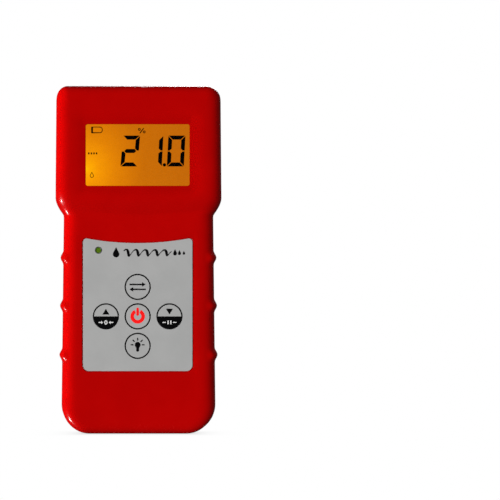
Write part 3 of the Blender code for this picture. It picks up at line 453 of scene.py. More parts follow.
def black_plastic(name="moulded_black", pitch=2600):
    """Matt black ABS with a leathery mould grain, a little dust-grey on its high spots."""
    m = Nodes(name)
    grain = m.cells(pitch)
    cloud = m.noise(160, 4)
    colour = m.mix(m.ramp(cloud, start=0.35), (0.0035, 0.0035, 0.0038), (0.009, 0.009, 0.0095))
    rough = m.ramp(m.noise(500, 3), 0.42, 0.56)
    m.bump(m.plus(grain, cloud, 0.3), 0.03 * MM)
    return m.set(Base_Color=colour, Roughness=rough, Specular_IOR_Level=0.4)


def clear_lens():
    """Moulded acrylic with faint flow lines and wiping marks."""
    m = Nodes("clear_acrylic")
    wiped = m.noise(220, 4, 0.6, m.stretched(1.0, 1.0, 0.15))
    m.bump(m.noise(90, 1), 0.004 * MM, 0.3)
    rough = m.ramp(wiped, 0.015, 0.07, 0.45, 0.75)
    tint = m.mix(m.ramp(m.noise(40, 1)), (0.985, 0.985, 0.98), (0.97, 0.975, 0.975))
    return m.set(Base_Color=tint, Roughness=rough, IOR=1.46, Transmission_Weight=1.0)


def panel_film():
    """Grey printed polycarbonate film with a fine velvet texture."""
    m = Nodes("panel_film")
    velvet = m.noise(9000, 1, 0.5)
    speck = m.ramp(m.cells(1500), 1.0, 0.0, 0.0, 0.09)
    colour = m.mix(m.ramp(m.noise(70, 3)), (0.500, 0.502, 0.496), (0.535, 0.536, 0.529))
    colour = m.mix(m.times(speck, 0.12), colour, (0.27, 0.27, 0.27))
    m.bump(velvet, 0.008 * MM)
    return m.set(Base_Color=colour, Roughness=m.ramp(velvet, 0.46, 0.60), Specular_IOR_Level=0.35)


def ink(name, colour, lift=0.35, painted_glow=0.0):
    """Screen-printed ink: slightly uneven cover over a fine mesh pattern; the last argument adds a painted
    glow in the ink's own colour.
    """
    m = Nodes(name)
    cover = m.noise(2500, 3)
    darker = tuple(channel * (1 - lift) for channel in colour)
    shade = m.mix(m.ramp(cover, start=0.35, end=0.65), darker, colour)
    m.bump(m.noise(7000, 1), 0.006 * MM, 0.4)
    # Painted glow: emission in the ink's own colour, though the ink is no lamp.
    m.set(Emission_Color=colour, Emission_Strength=painted_glow)
    return m.set(Base_Color=shade, Roughness=m.ramp(cover, 0.38, 0.52), Specular_IOR_Level=0.35)


def lit_display():
    """The amber cell, brightest beside its lamp at the left and falling off to the right."""
    m = Nodes("lit_amber_cell")
    x = m.math("DIVIDE", m.math("SUBTRACT", m.axis("X"), -WINDOW_HALF_WIDTH), 30 * MM)
    z = m.math("DIVIDE", m.math("SUBTRACT", m.axis("Z"), WINDOW_Z - 6 * MM), 34 * MM)
    ramp = m.add("ValToRGB", {"Fac": m.math("DIVIDE", m.hypot(x, z), 1.5)})
    stops = (
        (0.0, (1.00, 0.500, 0.0000)), (0.04, (0.97, 0.390, 0.0000)), (0.12, (0.89, 0.300, 0.0000)),
        (0.28, (0.74, 0.215, 0.0002)), (0.42, (0.64, 0.172, 0.0005)), (0.56, (0.56, 0.143, 0.0010)),
        (0.95, (0.52, 0.128, 0.0015)),
    )
    while len(ramp.color_ramp.elements) < len(stops):
        ramp.color_ramp.elements.new(0.5)
    for element, (position, colour) in zip(ramp.color_ramp.elements, stops):
        element.position = position
        element.color = (*colour, 1)
    mottle = m.ramp(m.noise(500, 2), 0.985, 1.015)
    glow = m.mix(m.ramp(m.noise(1800, 1), 0.0, 0.03, 0.2, 0.8), ramp.outputs["Color"], (0.9, 0.5, 0.05))
    m.bump(m.noise(3000, 1), 0.004 * MM, 0.3)
    return m.set(
        Base_Color=(0.11, 0.045, 0.002),
        Roughness=m.ramp(m.noise(900, 2), 0.22, 0.30),
        Specular_IOR_Level=0.2,
        Emission_Color=glow,
        Emission_Strength=m.times(mottle, 1.13),
    )


def lamp_green():
    """Tinted, slightly milky epoxy of a lamp that is off."""
    m = Nodes("green_epoxy")
    cloud = m.noise(900, 2)
    colour = m.mix(m.ramp(cloud), (0.085, 0.190, 0.006), (0.150, 0.270, 0.012))
    m.bump(m.noise(1500, 2), 0.01 * MM, 0.3)
    m.set(Subsurface_Weight=0.25, Subsurface_Scale=0.6 * MM)
    return m.set(Base_Color=colour, Roughness=m.ramp(cloud, 0.12, 0.22))


def brushed_metal(name, colour, rough=(0.22, 0.38), lines=(1.0, 1.0, 12.0)):
    """Drawn or stamped metal with fine lines, dull blotches and some stain."""
    m = Nodes(name)
    line = m.noise(1400, 3, 0.6, m.stretched(*lines))
    stain = tuple(channel * 0.62 for channel in colour)
    shade = m.mix(m.ramp(m.noise(180, 3), start=0.4, end=0.75), colour, stain)
    m.bump(line, 0.01 * MM)
    return m.set(Base_Color=shade, Metallic=1.0, Roughness=m.ramp(line, *rough))


def circuit_board():
    """Green solder mask over faint copper tracks."""
    m = Nodes("solder_mask")
    tracks = m.add("TexBrick", {"Vector": m.place, "Scale": 160.0, "Mortar Size": 0.03}).outputs["Fac"]
    weave = m.noise(1200, 2)
    colour = m.mix(m.ramp(m.noise(80, 2)), (0.006, 0.075, 0.028), (0.010, 0.115, 0.042))
    colour = m.mix(m.times(tracks, 0.5), colour, (0.03, 0.20, 0.07))
    m.bump(m.plus(tracks, weave, 0.2), 0.02 * MM)
    return m.set(Base_Color=colour, Roughness=m.ramp(weave, 0.26, 0.4))


def coated(name, first, second, rough=(0.35, 0.5), pitch=900):
    """A moulded or dipped coating: two close shades, uneven gloss, fine surface."""
    m = Nodes(name)
    cloud = m.noise(pitch / 6, 3)
    fine = m.noise(pitch * 3, 2)
    m.bump(m.math("ADD", fine, cloud), 0.01 * MM)
    shade = m.mix(m.ramp(cloud, start=0.35, end=0.65), first, second)
    return m.set(Base_Color=shade, Roughness=m.ramp(fine, *rough))


def make_materials():
    return {
        "red": red_plastic(),
        "black": black_plastic(),
        "sensor": black_plastic("sensor_black", 1900),
        "lens": clear_lens(),
        "film": panel_film(),
        "ink_black": ink("ink_black", (0.0045, 0.0045, 0.005)),
        "ink_white": ink("ink_white", (0.93, 0.93, 0.91), 0.1),
        # Red ink with a painted glow in its own colour.
        "ink_red_painted_glow": ink("ink_red_painted_glow", (0.95, 0.012, 0.012), 0.05, 0.30),
        "segment": ink("display_segment", (0.010, 0.004, 0.002), 0.4),
        "segment_faint": ink("display_segment_faint", (0.045, 0.012, 0.002), 0.3),
        "display": lit_display(),
        "display_edge": coated("display_edge", (0.010, 0.008, 0.006), (0.016, 0.012, 0.008)),
        "lamp": lamp_green(),
        "steel": brushed_metal("nickel_steel", (0.60, 0.59, 0.57)),
        "spring": brushed_metal("spring_wire", (0.55, 0.54, 0.52), (0.2, 0.34), (6.0, 6.0, 1.0)),
        "tin": brushed_metal("tinned_plate", (0.66, 0.65, 0.62), (0.26, 0.42), (8.0, 1.0, 1.0)),
        "copper": brushed_metal("copper_foil", (0.78, 0.38, 0.20), (0.25, 0.4), (8.0, 1.0, 1.0)),
        "can": brushed_metal("cell_can", (0.70, 0.70, 0.69), (0.2, 0.32), (1.0, 1.0, 10.0)),
        "board": circuit_board(),
        "chip": coated("chip_epoxy", (0.010, 0.010, 0.011), (0.018, 0.018, 0.019), (0.5, 0.65), 1500),
        "guide": coated("amber_guide", (0.85, 0.42, 0.02), (0.95, 0.52, 0.04), (0.2, 0.3)),
        "rubber": coated("zebra_rubber", (0.22, 0.22, 0.23), (0.33, 0.33, 0.34), (0.7, 0.85), 2000),
        "blue": coated("trimmer_blue", (0.012, 0.07, 0.34), (0.018, 0.10, 0.45), (0.3, 0.42)),
        "sleeve": coated("capacitor_sleeve", (0.012, 0.016, 0.07), (0.020, 0.028, 0.11), (0.2, 0.32)),
        "wire_red": coated("wire_red", (0.45, 0.006, 0.006), (0.60, 0.012, 0.012), (0.32, 0.44)),
        "wire_black": coated("wire_black", (0.008, 0.008, 0.008), (0.016, 0.016, 0.016), (0.36, 0.5)),
        "jacket": coated("cell_jacket", (0.006, 0.080, 0.105), (0.010, 0.105, 0.135), (0.16, 0.26), 700),
        "band": coated("cell_band", (0.42, 0.42, 0.41), (0.50, 0.50, 0.49), (0.18, 0.28), 700),
    }


MATERIALS = make_materials()


def paint(obj, *names):
    """Gives a piece its material slots, in order."""
    obj.data.materials.clear()
    for name in names:
        obj.data.materials.append(MATERIALS[name])
    return obj


def split_paint(obj, index_of):
    """Gives each face the material slot that index_of(face centre) names."""
    for face in obj.data.polygons:
        face.material_index = index_of(face.center)


def finish(obj, material, slot, node, body="case", angle=32):
    """Smooths and paints a piece, and seats it on its body in place of a CAD node."""
    smooth_finish(obj, angle)
    seat(paint(obj, material), body, slot, node)


# ---- Casing ----

GRID = 0.7 * MM  # spacing of the fine skin
FACE_COLUMNS = 84
FOOT_STEPS = 26
CROWN_STEPS = 12
EDGE_STEPS = 14
INNER_STEPS = 3


def side_stations():
    """Stations up the right side: foot corner, long side, crown corner."""
    span = BODY_HEIGHT - CROWN_CORNER - FOOT_CORNER
    count = round(span / GRID)
    levels = [("side", FOOT_CORNER + span * k / count) for k in range(1, count)]
    foot = [("foot", 90 * k / FOOT_STEPS) for k in range(FOOT_STEPS + 1)]
    crown = [("crown", 90 * k / CROWN_STEPS) for k in range(CROWN_STEPS + 1)]
    return foot + levels + crown


RIGHT_SIDE = side_stations()


def ease(share, soft=0.05):
    """Leaves 0 with a small soft crease and settles into 1 smoothly."""
    share = min(soft_positive(share, soft), 1)
    return 1 - (1 - share) ** 1.7


def rib_bump(z):
    """0 to 1: how much of a finger rib stands out at height z."""
    for rib in RIB_HEIGHTS:
        offset = abs(z - rib) / RIB_HALF_LENGTH
        if offset < 1:
            return math.cos(offset * math.pi / 2) ** 2
    return 0


def half_width(z):
    if z < NECK_Z - 2 * MM:
        return FOOT_HALF_WIDTH + (NECK_HALF_WIDTH - FOOT_HALF_WIDTH) * z / NECK_Z
    shoulder = (HEAD_HALF_WIDTH - NECK_HALF_WIDTH) * ease((z - NECK_Z) / (SHOULDER_Z - NECK_Z))
    taper = (HEAD_HALF_WIDTH - CROWN_HALF_WIDTH) * max(0, (z - SHOULDER_Z) / (BODY_HEIGHT - SHOULDER_Z))
    return NECK_HALF_WIDTH + shoulder - taper


def raised_head(x, z, handle, head):
    start = NECK_Z + RAMP_SAG * (x / NECK_HALF_WIDTH) ** 2
    return handle + (head - handle) * ease((z - start) / RAMP_LENGTH)


def basin_share(x, z):
    """1 on the floor round the window, falling to 0 at the basin's brim; steepest beside the window."""
    across = max(abs(x) - WINDOW_HALF_WIDTH - MOUTH_ROUND, 0) / BASIN_WIDTHS["side"]
    over = abs(z - WINDOW_Z) - WINDOW_HALF_HEIGHT - MOUTH_ROUND
    along = max(over, 0) / BASIN_WIDTHS["top" if z > WINDOW_Z else "bottom"]
    return (1 - min(math.hypot(across, along), 1)) ** 2


def panel_distance(x, z):
    """Distance outside the keypad panel's outline, roughly."""
    across = abs(x) - PANEL_HALF_WIDTH - FIT_GAP
    sag = PANEL_SAG * (1 - min(abs(x) / PANEL_HALF_WIDTH, 1) ** 2)
    along = max(z - (PANEL_TOP - sag) - FIT_GAP, PANEL_BOTTOM - FIT_GAP - z)
    return math.hypot(max(across, 0), max(along, 0))


def front_depth(x, z):
    depth = raised_head(x, z, HANDLE_DEPTH, HEAD_DEPTH)
    depth -= (HEAD_DEPTH - BASIN_FLOOR) * basin_share(x, z)
    return depth - POCKET_SLOPE * (1 - smoothstep(panel_distance(x, z) / POCKET_SLOPE_WIDTH))


def front_inner_depth(x, z):
    return raised_head(x, z, HANDLE_INNER_DEPTH, HEAD_INNER_DEPTH)


def outline_point(station, inset, rib=0.0):
    part, value = station
    foot_radius = FOOT_CORNER - inset
    crown_radius = CROWN_CORNER - 0.7 * inset
    foot_x = half_width(FOOT_CORNER) - FOOT_CORNER
    crown_x = half_width(BODY_HEIGHT) - inset - crown_radius
    turn = math.radians(value) if part in ("foot", "crown") else 0
    if part == "foot":
        return foot_x + foot_radius * math.sin(turn), FOOT_CORNER - foot_radius * math.cos(turn)
    if part == "crown":
        base = BODY_HEIGHT - inset - crown_radius
        return crown_x + crown_radius * math.cos(turn), base + crown_radius * math.sin(turn)
    if part == "foot_edge":
        return value * foot_x, inset
    if part == "crown_edge":
        return value * crown_x, BODY_HEIGHT - inset
    return half_width(value) + rib * RIB_REACH * rib_bump(value) - inset, value


def side_share(station):
    """1 along the sides, 0 across the flat foot and crown, and between them round the corners."""
    part, value = station
    if part in ("foot_edge", "crown_edge"):
        return 0
    if part == "side":
        return 1
    return math.sin(math.radians(value if part == "foot" else 90 - value)) ** 2


def section_loops(stations, side, depth_at, inset, side_radius, end_radius, steps, ribbed):
    """Loops from the rim, round the long edge, to the brink of the flat face, which it meets gently."""
    loops = []
    for step in range(steps + 1):
        turn = math.pi / 2 * step / steps
        rib = 1 - smoothstep(math.degrees(turn), *RIB_FADE) if ribbed else 0
        loop = []
        for mirror, station in stations:
            share = side_share(station)
            radius = end_radius + (side_radius - end_radius) * share
            inward = inset + DRAFT * share + radius * (1 - math.cos(turn))
            x, z = outline_point(station, inward, rib * math.cos(turn))
            bump = RIB_REACH * rib_bump(z) * rib * math.sin(turn) * share
            depth = depth_at(x, z) - radius * (1 - math.sin(turn)) ** EDGE_EASE + bump
            loop.append((mirror * x, side * depth, z))
        loops.append(loop)
    return loops


def rim_loop(stations, y, inset, rib=0.0):
    return [(mirror * x, y, z) for mirror, (x, z) in ((m, outline_point(s, inset, rib)) for m, s in stations)]


def rim_rounding(stations, side):
    """The rim's outer corner, from the parting face to the side."""
    loops = []
    for s, c in quarter(3):
        y = side * (PARTING_GAP + RIM_ROUND * (1 - c))
        loops.append(rim_loop(stations, y, RIM_ROUND * (1 - s), 1))
    return loops


def fine_face(bm, loop, side, depth_at):
    """Fills the flat of the face with a ladder of small quads that follow the height function."""
    rows = len(RIGHT_SIDE)
    columns = FACE_COLUMNS
    left_start = rows + columns - 1

    def corner(row, column):
        if column == columns:
            return loop[row]
        if column == 0:
            return loop[left_start + rows - 1 - row]
        if row == rows - 1:
            return loop[rows + columns - 1 - column]
        if row == 0:
            return loop[left_start + rows - 1 + column]
        return inner[row, column]

    inner = {}
    for row in range(1, rows - 1):
        edge = loop[row].co
        for column in range(1, columns):
            x = edge.x * (2 * column / columns - 1)
            inner[row, column] = bm.verts.new((x, side * depth_at(x, edge.z), edge.z))
    for row in range(rows - 1):
        for column in range(columns):
            ends = ((row, column), (row, column + 1), (row + 1, column + 1), (row + 1, column))
            bm.faces.new([corner(*end) for end in ends])


def plain_face(bm, loop):
    """Fills a hidden inner face with one strip for each pair of side stations."""
    rows = len(RIGHT_SIDE)
    left_start = rows + FACE_COLUMNS - 1
    for row in range(rows - 1):
        strip = [loop[row], loop[row + 1]]
        if row == rows - 2:
            strip += loop[rows:left_start]
        strip += [loop[left_start + rows - 2 - row], loop[left_start + rows - 1 - row]]
        if row == 0:
            strip += loop[left_start + rows:]
        bm.faces.new(strip)


def casing_mesh(side, face, inner, lip, flat=False):
    """A hollow half casing: inner face, inner wall, stepped rim, long edge, outer face."""
    across = [2 * k / FACE_COLUMNS - 1 for k in range(1, FACE_COLUMNS)]
    stations = [(1, station) for station in RIGHT_SIDE]
    stations += [(-1, ("crown_edge", share)) for share in across]
    stations += [(-1, station) for station in reversed(RIGHT_SIDE)]
    stations += [(1, ("foot_edge", share)) for share in across]
    loops = list(reversed(section_loops(stations, side, *inner, INNER_STEPS, False)))
    loops += [rim_loop(stations, y, inset) for y, inset in lip]
    loops += rim_rounding(stations, side)
    loops += section_loops(stations, side, *face, EDGE_STEPS, True)
    bm = bmesh.new()
    rings = [[bm.verts.new(point) for point in loop] for loop in loops]
    skin(bm, rings)
    if flat:
        bm.faces.new(rings[0])
        bm.faces.new(rings[-1])
    else:
        plain_face(bm, rings[0])
        fine_face(bm, rings[-1], side, face[0])
    return bm


def store_wear(obj, wear_at):
    """Stores how exposed each point is, from wear_at(x, y, z), for the red plastic to read."""
    wear = obj.data.attributes.new("wear", "FLOAT", "POINT")
    wear.data.foreach_set("value", [wear_at(*vertex.co) for vertex in obj.data.vertices])


def casing_wear(x, y, z):
    """How exposed a point is at depth y: rib crests, shoulders, foot corners and crown corners."""
    x = abs(x)
    edge = smoothstep(x, half_width(z) - 3.5 * MM, half_width(z)) * smoothstep(y, 0, 6 * MM)
    ribs = rib_bump(z) ** 2 * smoothstep(x, half_width(z), half_width(z) + RIB_REACH)
    foot = smoothstep(z, 9 * MM, 0) if z < 9 * MM else 0
    crown = smoothstep(z, BODY_HEIGHT - 4 * MM, BODY_HEIGHT)
    return min(1, 0.35 * edge + 0.9 * ribs + 0.5 * foot + 0.5 * crown)


def panel_outline(margin=0.0, steps=24):
    half = PANEL_HALF_WIDTH + margin
    bottom = PANEL_BOTTOM - margin
    top = PANEL_TOP + margin
    foot = PANEL_FOOT_CORNER + margin
    corner = PANEL_TOP_CORNER + margin
    reach = half - corner
    points = arc((reach, top - corner), corner, 0, 90, 8)
    for k in range(1, steps):
        x = reach * (1 - 2 * k / steps)
        points.append((x, top - PANEL_SAG * (1 - (x / reach) ** 2)))
    points += arc((-reach, top - corner), corner, 90, 180, 8)
    points += arc((foot - half, bottom + foot), foot, 180, 270, 8)
    points += arc((half - foot, bottom + foot), foot, 270, 360, 8)
    return points


def window_outline(offset=0.0):
    return rounded_rectangle(
        WINDOW_HALF_WIDTH + offset, WINDOW_Z - WINDOW_HALF_HEIGHT - offset,
        WINDOW_Z + WINDOW_HALF_HEIGHT + offset, WINDOW_CORNER + offset,
    )


def build_front_casing():
    face = (front_depth, 0, FRONT_EDGE, FRONT_END_EDGE)
    inner = (front_inner_depth, WALL, FRONT_EDGE - WALL, FRONT_END_EDGE - WALL)
    lip = [(-1.9 * MM, WALL), (-1.9 * MM, 1.1 * MM), (-PARTING_GAP, 1.1 * MM)]
    casing = place(casing_mesh(-1, face, inner, lip), "front_casing")
    into_front = -11.5 * MM
    additions = rods("pillar", 3.2 * MM, (into_front, PILLAR_MEET), CASE_SCREWS)
    additions += rods("peg", 2.3 * MM, (into_front, -BOARD_FRONT - FIT_GAP), BOARD_SCREWS, 24)
    apply_solids(casing, "UNION", additions)
    through_face = (-13 * MM, -9 * MM)
    mouth = HANDLE_DEPTH - POCKET_SLOPE

    def panel(offset):
        return panel_outline(FIT_GAP + offset)

    cutters = [
        pocket("window_cut", -1, window_outline, BASIN_FLOOR, HEAD_INNER_DEPTH - 1.5 * MM),
        pocket("panel_cut", -1, panel, mouth, POCKET_FLOOR, 0.25 * MM),
        rod("lamp_cut", LAMP_RADIUS + FIT_GAP, through_face, (LAMP.x, LAMP.z)),
    ]
    cutters += rods("key_cut", KEY_HOLE_RADIUS, through_face, KEYS.values(), 48)
    cutters += rods("bore", 1.5 * MM, (-4 * MM, 3 * MM), CASE_SCREWS, 20)
    cutters += rods("peg_bore", 1.2 * MM, (-8.6 * MM, -4 * MM), BOARD_SCREWS, 16)
    apply_solids(casing, "DIFFERENCE", cutters)
    store_wear(casing, lambda x, y, z: casing_wear(x, -y, z))
    finish(casing, "red", "red_plastic", "front_shell")


def slot_cutters():
    """The slots for the door's hooks and latch and for the contacts' solder tails."""
    breakthrough = 11.72 * MM
    cutters = []
    for side, contact in ((-1, "contact_positive"), (1, "contact_negative")):
        hook = side * HOOK_X
        tab = (hook - 3.4 * MM, hook + 3.4 * MM)
        cutters.append(block("tab_slot", tab, (8.6 * MM, breakthrough), (10 * MM, BAY_BOTTOM + 1 * MM)))
        tail = middle(contact).x
        width = (tail - 2.5 * MM, tail + 2.5 * MM)
        cutters.append(block("tail_slot", width, (3.4 * MM, 7.4 * MM), (BAY_TOP - 1 * MM, BAY_TOP + 3 * MM)))
    latch = (-5.4 * MM, 5.4 * MM)
    cutters.append(block("latch_slot", latch, (9.9 * MM, breakthrough), (BAY_TOP - 0.5 * MM, 69.2 * MM)))
    return cutters


def build_rear_casing():
    face = (lambda x, z: BACK_DEPTH, 0, BACK_EDGE, BACK_EDGE)
    inner = (lambda x, z: BACK_INNER_DEPTH, WALL, BACK_EDGE - WALL, BACK_EDGE - WALL)
    lip = [(-1.5 * MM, WALL), (-1.5 * MM, 1.4 * MM), (PARTING_GAP, 1.4 * MM)]
    casing = place(casing_mesh(1, face, inner, lip, flat=True), "rear_casing")
    bay = BAY_HALF_WIDTH
    tub = bay + BAY_WALL
    ledge = DOOR_HALF_WIDTH + LEDGE_WIDTH
    tub_height = (BAY_BOTTOM - BAY_WALL, BAY_TOP + BAY_WALL)
    ledge_height = (DOOR_BOTTOM - LEDGE_WIDTH, DOOR_TOP + LEDGE_WIDTH)
    additions = [
        block("bay_tub", (-tub, tub), (BAY_FLOOR - 1.2 * MM, INTO_WALL), tub_height),
        block("door_ledge", (-ledge, ledge), (LEDGE_INNER, INTO_WALL), ledge_height),
    ]
    additions += rods("rear_pillar", 4.1 * MM, (PILLAR_MEET + FIT_GAP, INTO_WALL), CASE_SCREWS)
    apply_solids(casing, "UNION", additions)
    gap = FIT_GAP
    door = rectangle_outline(DOOR_HALF_WIDTH + gap, DOOR_BOTTOM - gap, DOOR_TOP + gap, DOOR_CORNER)
    sensor = rectangle_outline(SENSOR_HALF_WIDTH + gap, SENSOR_BOTTOM - gap, SENSOR_TOP + gap, SENSOR_CORNER)
    cutters = [
        pocket("door_cut", 1, door, BACK_DEPTH, DOOR_INNER - gap, 0.2 * MM),
        pocket("sensor_cut", 1, sensor, BACK_DEPTH, SENSOR_INNER - gap, 0.25 * MM),
        block("bay_cut", (-bay, bay), (BAY_FLOOR, OUTSIDE_BACK), (BAY_BOTTOM, BAY_TOP)),
    ]
    cutters += slot_cutters()
    for k, screw in enumerate(CASE_SCREWS):
        centre = (screw.x, screw.z)
        face_here = BACK_DEPTH if k > 1 else SENSOR_INNER - gap
        cutters.append(pocket("screw_cut", 1, circle_outline(centre, 2.9 * MM, 40), face_here, SCREW_SEAT))
        cutters.append(rod("screw_hole", 1.6 * MM, (1 * MM, 8 * MM), centre, 20))
    apply_solids(casing, "DIFFERENCE", cutters)
    store_wear(casing, casing_wear)
    finish(casing, "red", "red_plastic", "rear_shell")


# ---- Rear: battery door, sensor plate, screws ----


def thumb_ridge(z, half_length):
    outline = rectangle_outline(half_length, z - 0.45 * MM, z + 0.45 * MM, 0.44 * MM, 6)
    return loft("thumb_ridge", outline, edge_profile(13.0 * MM, 13.82 * MM, 0.32 * MM))


def build_battery_door():
    """The hinged door: flat panel, two hooks, a latch tongue and a ribbed thumb hollow."""
    outline = rectangle_outline(DOOR_HALF_WIDTH, DOOR_BOTTOM, DOOR_TOP, DOOR_CORNER)
    door = loft("battery_cover", outline, edge_profile(DOOR_INNER, BACK_DEPTH, 0.3 * MM))
    into_door = 12.5 * MM
    additions = []
    for x in (-HOOK_X, HOOK_X):
        width = (x - 3 * MM, x + 3 * MM)
        additions.append(block("root", width, (10.6 * MM, into_door), (13.3 * MM, 14.6 * MM)))
        hook = rectangle_outline(3 * MM, 11.3 * MM, 14.2 * MM, 0.3 * MM, 3)
        piece = loft("hook", hook, edge_profile(11.05 * MM, 10.0 * MM, 0.2 * MM, 3))
        piece.location.x = x
        additions.append(piece)
    tongue = rectangle_outline(5 * MM, 67.2 * MM, 68.2 * MM, 0.3 * MM, 3)
    additions.append(loft("tongue", tongue, edge_profile(into_door, 10.4 * MM, 0.2 * MM, 3)))
    apply_solids(door, "UNION", additions)
    thumb_z = DOOR_TOP - 9 * MM
    hollow = [
        (0, 13.2 * MM), (5.9 * MM, 13.2 * MM), (6.5 * MM, 13.28 * MM), (7.05 * MM, 13.52 * MM),
        (7.35 * MM, 13.82 * MM), (7.6 * MM, 14.2 * MM), (7.9 * MM, 14.8 * MM), (0, 14.8 * MM),
    ]
    apply_solids(door, "DIFFERENCE", [turned("hollow", hollow, 96, (0, 0, thumb_z))])
    ridges = []
    for k in (-1.5, -0.5, 0.5, 1.5):
        offset = k * 2.8 * MM
        ridges.append(thumb_ridge(thumb_z + offset, math.sqrt((6.6 * MM) ** 2 - offset**2)))
    apply_solids(door, "UNION", ridges)

    def wear_at(x, y, z):
        return 0.5 * smoothstep(y, 13.6 * MM, BACK_DEPTH) * smoothstep(abs(x), 24 * MM, 25 * MM)

    store_wear(door, wear_at)
    finish(door, "red", "red_plastic", "battery_door", "door")


def build_sensor_cover():
    """The black plate that rests on the floor being measured, with its edges well rounded."""
    outline = rectangle_outline(SENSOR_HALF_WIDTH, SENSOR_BOTTOM, SENSOR_TOP, SENSOR_CORNER, 12)
    cover = loft("sensor_cover", outline, edge_profile(SENSOR_INNER, SENSOR_FACE, 0.6 * MM, 6))
    finish(cover, "sensor", "black_plastic", "sensor_plate")


def cross_recess(centre, top, half_length, half_width, depth):
    """A tapered four-armed driver recess."""
    parts = []
    for turn in (0, 90):
        def outline(offset, turn=turn):
            long = half_length + offset
            slim = half_width + offset * 0.4
            x, z = (long, slim) if turn == 0 else (slim, long)
            return rounded_rectangle(x, centre.z - z, centre.z + z, min(x, z) * 0.6, 3, centre.x)
        taper = 0.55 * half_length
        parts.append(loft("recess", outline, [(-taper, top - depth), (0.2 * MM, top + 0.5 * MM)]))
    return parts


def build_screw(name, seat_y, head_radius, head_height, shank_radius, shank_length):
    """A pan-head screw with a domed head, a driver recess and rings for its thread."""
    centre = middle(name)
    top = seat_y + head_height
    profile = [(0, top)]
    for s, c in quarter(8, 1):
        profile.append((head_radius * s**0.8, seat_y + head_height * (0.42 + 0.58 * c**0.9)))
    profile += [(head_radius, seat_y + 0.08 * MM), (head_radius - 0.08 * MM, seat_y), (shank_radius, seat_y)]
    turns = 9
    for k in range(turns):
        start = seat_y - shank_length * (0.12 + 0.76 * k / turns)
        profile.append((shank_radius, start))
        profile.append((shank_radius * 0.78, start - shank_length * 0.76 / turns * 0.5))
    profile += [(shank_radius * 0.7, seat_y - shank_length * 0.9), (0, seat_y - shank_length)]
    screw = turned(f"{name}_turned", profile, 40, (centre.x, 0, centre.z))
    arm, slot_half, depth = 0.62 * head_radius, 0.14 * head_radius, 1.1 * MM
    recess = cross_recess(centre, top, arm, slot_half, depth)
    apply_solids(screw, "DIFFERENCE", recess)
    finish(screw, "steel", "steel", name, angle=40)


def build_screws():
    for k in (1, 2, 3, 4):
        build_screw(f"case_screw_{k}", SCREW_SEAT + 0.1 * MM, 2.5 * MM, 1.9 * MM, 1.3 * MM, 8 * MM)
        build_screw(f"board_screw_{k}", -2.8 * MM, 1.9 * MM, 1.3 * MM, 1.0 * MM, 5 * MM)


# ---- Printed and displayed marks ----


class Marks:
    """Thin raised marks, gathered into one mesh, on a flat face that looks along -Y."""

    def __init__(self, name, face):
        self.name = name
        self.back = -face
        self.front = -face - INK
        self.bm = bmesh.new()

    def plate(self, outline):
        """A filled shape from its (x, z) outline."""
        near = [self.bm.verts.new((x, self.front, z)) for x, z in outline]
        far = [self.bm.verts.new((x, self.back, z)) for x, z in outline]
        self.bm.faces.new(near)
        self.bm.faces.new(list(reversed(far)))
        skin(self.bm, [near, far])

    def ribbon(self, points, width, closed=False):
        """A line of (x, z) points; width is a number or a function of the share along it."""
        count = len(points)
        rails = []
        for k, point in enumerate(points):
            before = points[k - 1] if k or closed else point
            after = points[(k + 1) % count] if k < count - 1 or closed else point
            along = (Vector(after) - Vector(before)).normalized()
            share = k / (count - 1)
            half = (width(share) if callable(width) else width) / 2
            if before is not point and after is not point:
                leg = (Vector(point) - Vector(before)).normalized()
                half /= max(along.dot(leg), 0.6)
            side = Vector((-along.y, along.x)) * half
            corners = ((1, self.front), (-1, self.front), (-1, self.back), (1, self.back))
            rails.append(
                [self.bm.verts.new((point[0] + s * side.x, y, point[1] + s * side.y)) for s, y in corners]
            )
        for k in range(count if closed else count - 1):
            skin(self.bm, [rails[k], rails[(k + 1) % count]])
        if not closed:
            self.bm.faces.new(rails[0])
            self.bm.faces.new(list(reversed(rails[-1])))

    def finish(self, material, body, slot):
        seat(paint(place(self.bm, self.name, 30), material), body, slot)


def shifted(points, x, z):
    return [(x + u, z + v) for u, v in points]


def arrow(tip, tail, width, head):
    """A straight arrow outline from tail to tip; head is (length, half width)."""
    tip, tail = Vector(tip), Vector(tail)
    along = (tip - tail).normalized()
    side = Vector((-along.y, along.x))
    neck = tip - along * head[0]
    points = [
        tail + side * width / 2, neck + side * width / 2, neck + side * head[1], tip,
        neck - side * head[1], neck - side * width / 2, tail - side * width / 2,
    ]
    return [tuple(point) for point in points]


FIGURE_WIDTH = 7.35 * MM
FIGURE_HEIGHT = 13.3 * MM
FIGURE_STROKE = 1.72 * MM
FIGURE_GAP = 0.20 * MM
FIGURE_BOTTOM = WINDOW_Z - 4.87 * MM
SEGMENTS_LIT = {"0": "abcdef", "1": "bc", "2": "abged"}


def figure_segments():
    """The seven mitred bars of a figure, in its own width and height."""
    w, h, t, g = FIGURE_WIDTH, FIGURE_HEIGHT, FIGURE_STROKE, FIGURE_GAP
    top = [(g, h), (w - g, h), (w - t - g, h - t), (t + g, h - t)]
    right = [
        (w, h - g), (w, h / 2 + g), (w - t / 2, h / 2 + g), (w - t, h / 2 + t / 2 + g), (w - t, h - t - g),
    ]
    bar = [
        (t / 2 + g, h / 2), (t + g, h / 2 + t / 2), (w - t - g, h / 2 + t / 2), (w - t / 2 - g, h / 2),
        (w - t - g, h / 2 - t / 2), (t + g, h / 2 - t / 2),
    ]

    def flip_x(points):
        return [(w - x, z) for x, z in reversed(points)]

    def flip_z(points):
        return [(x, h - z) for x, z in reversed(points)]

    return {
        "a": top,
        "b": right,
        "c": flip_z(right),
        "d": flip_z(top),
        "e": flip_z(flip_x(right)),
        "f": flip_x(right),
        "g": bar,
    }


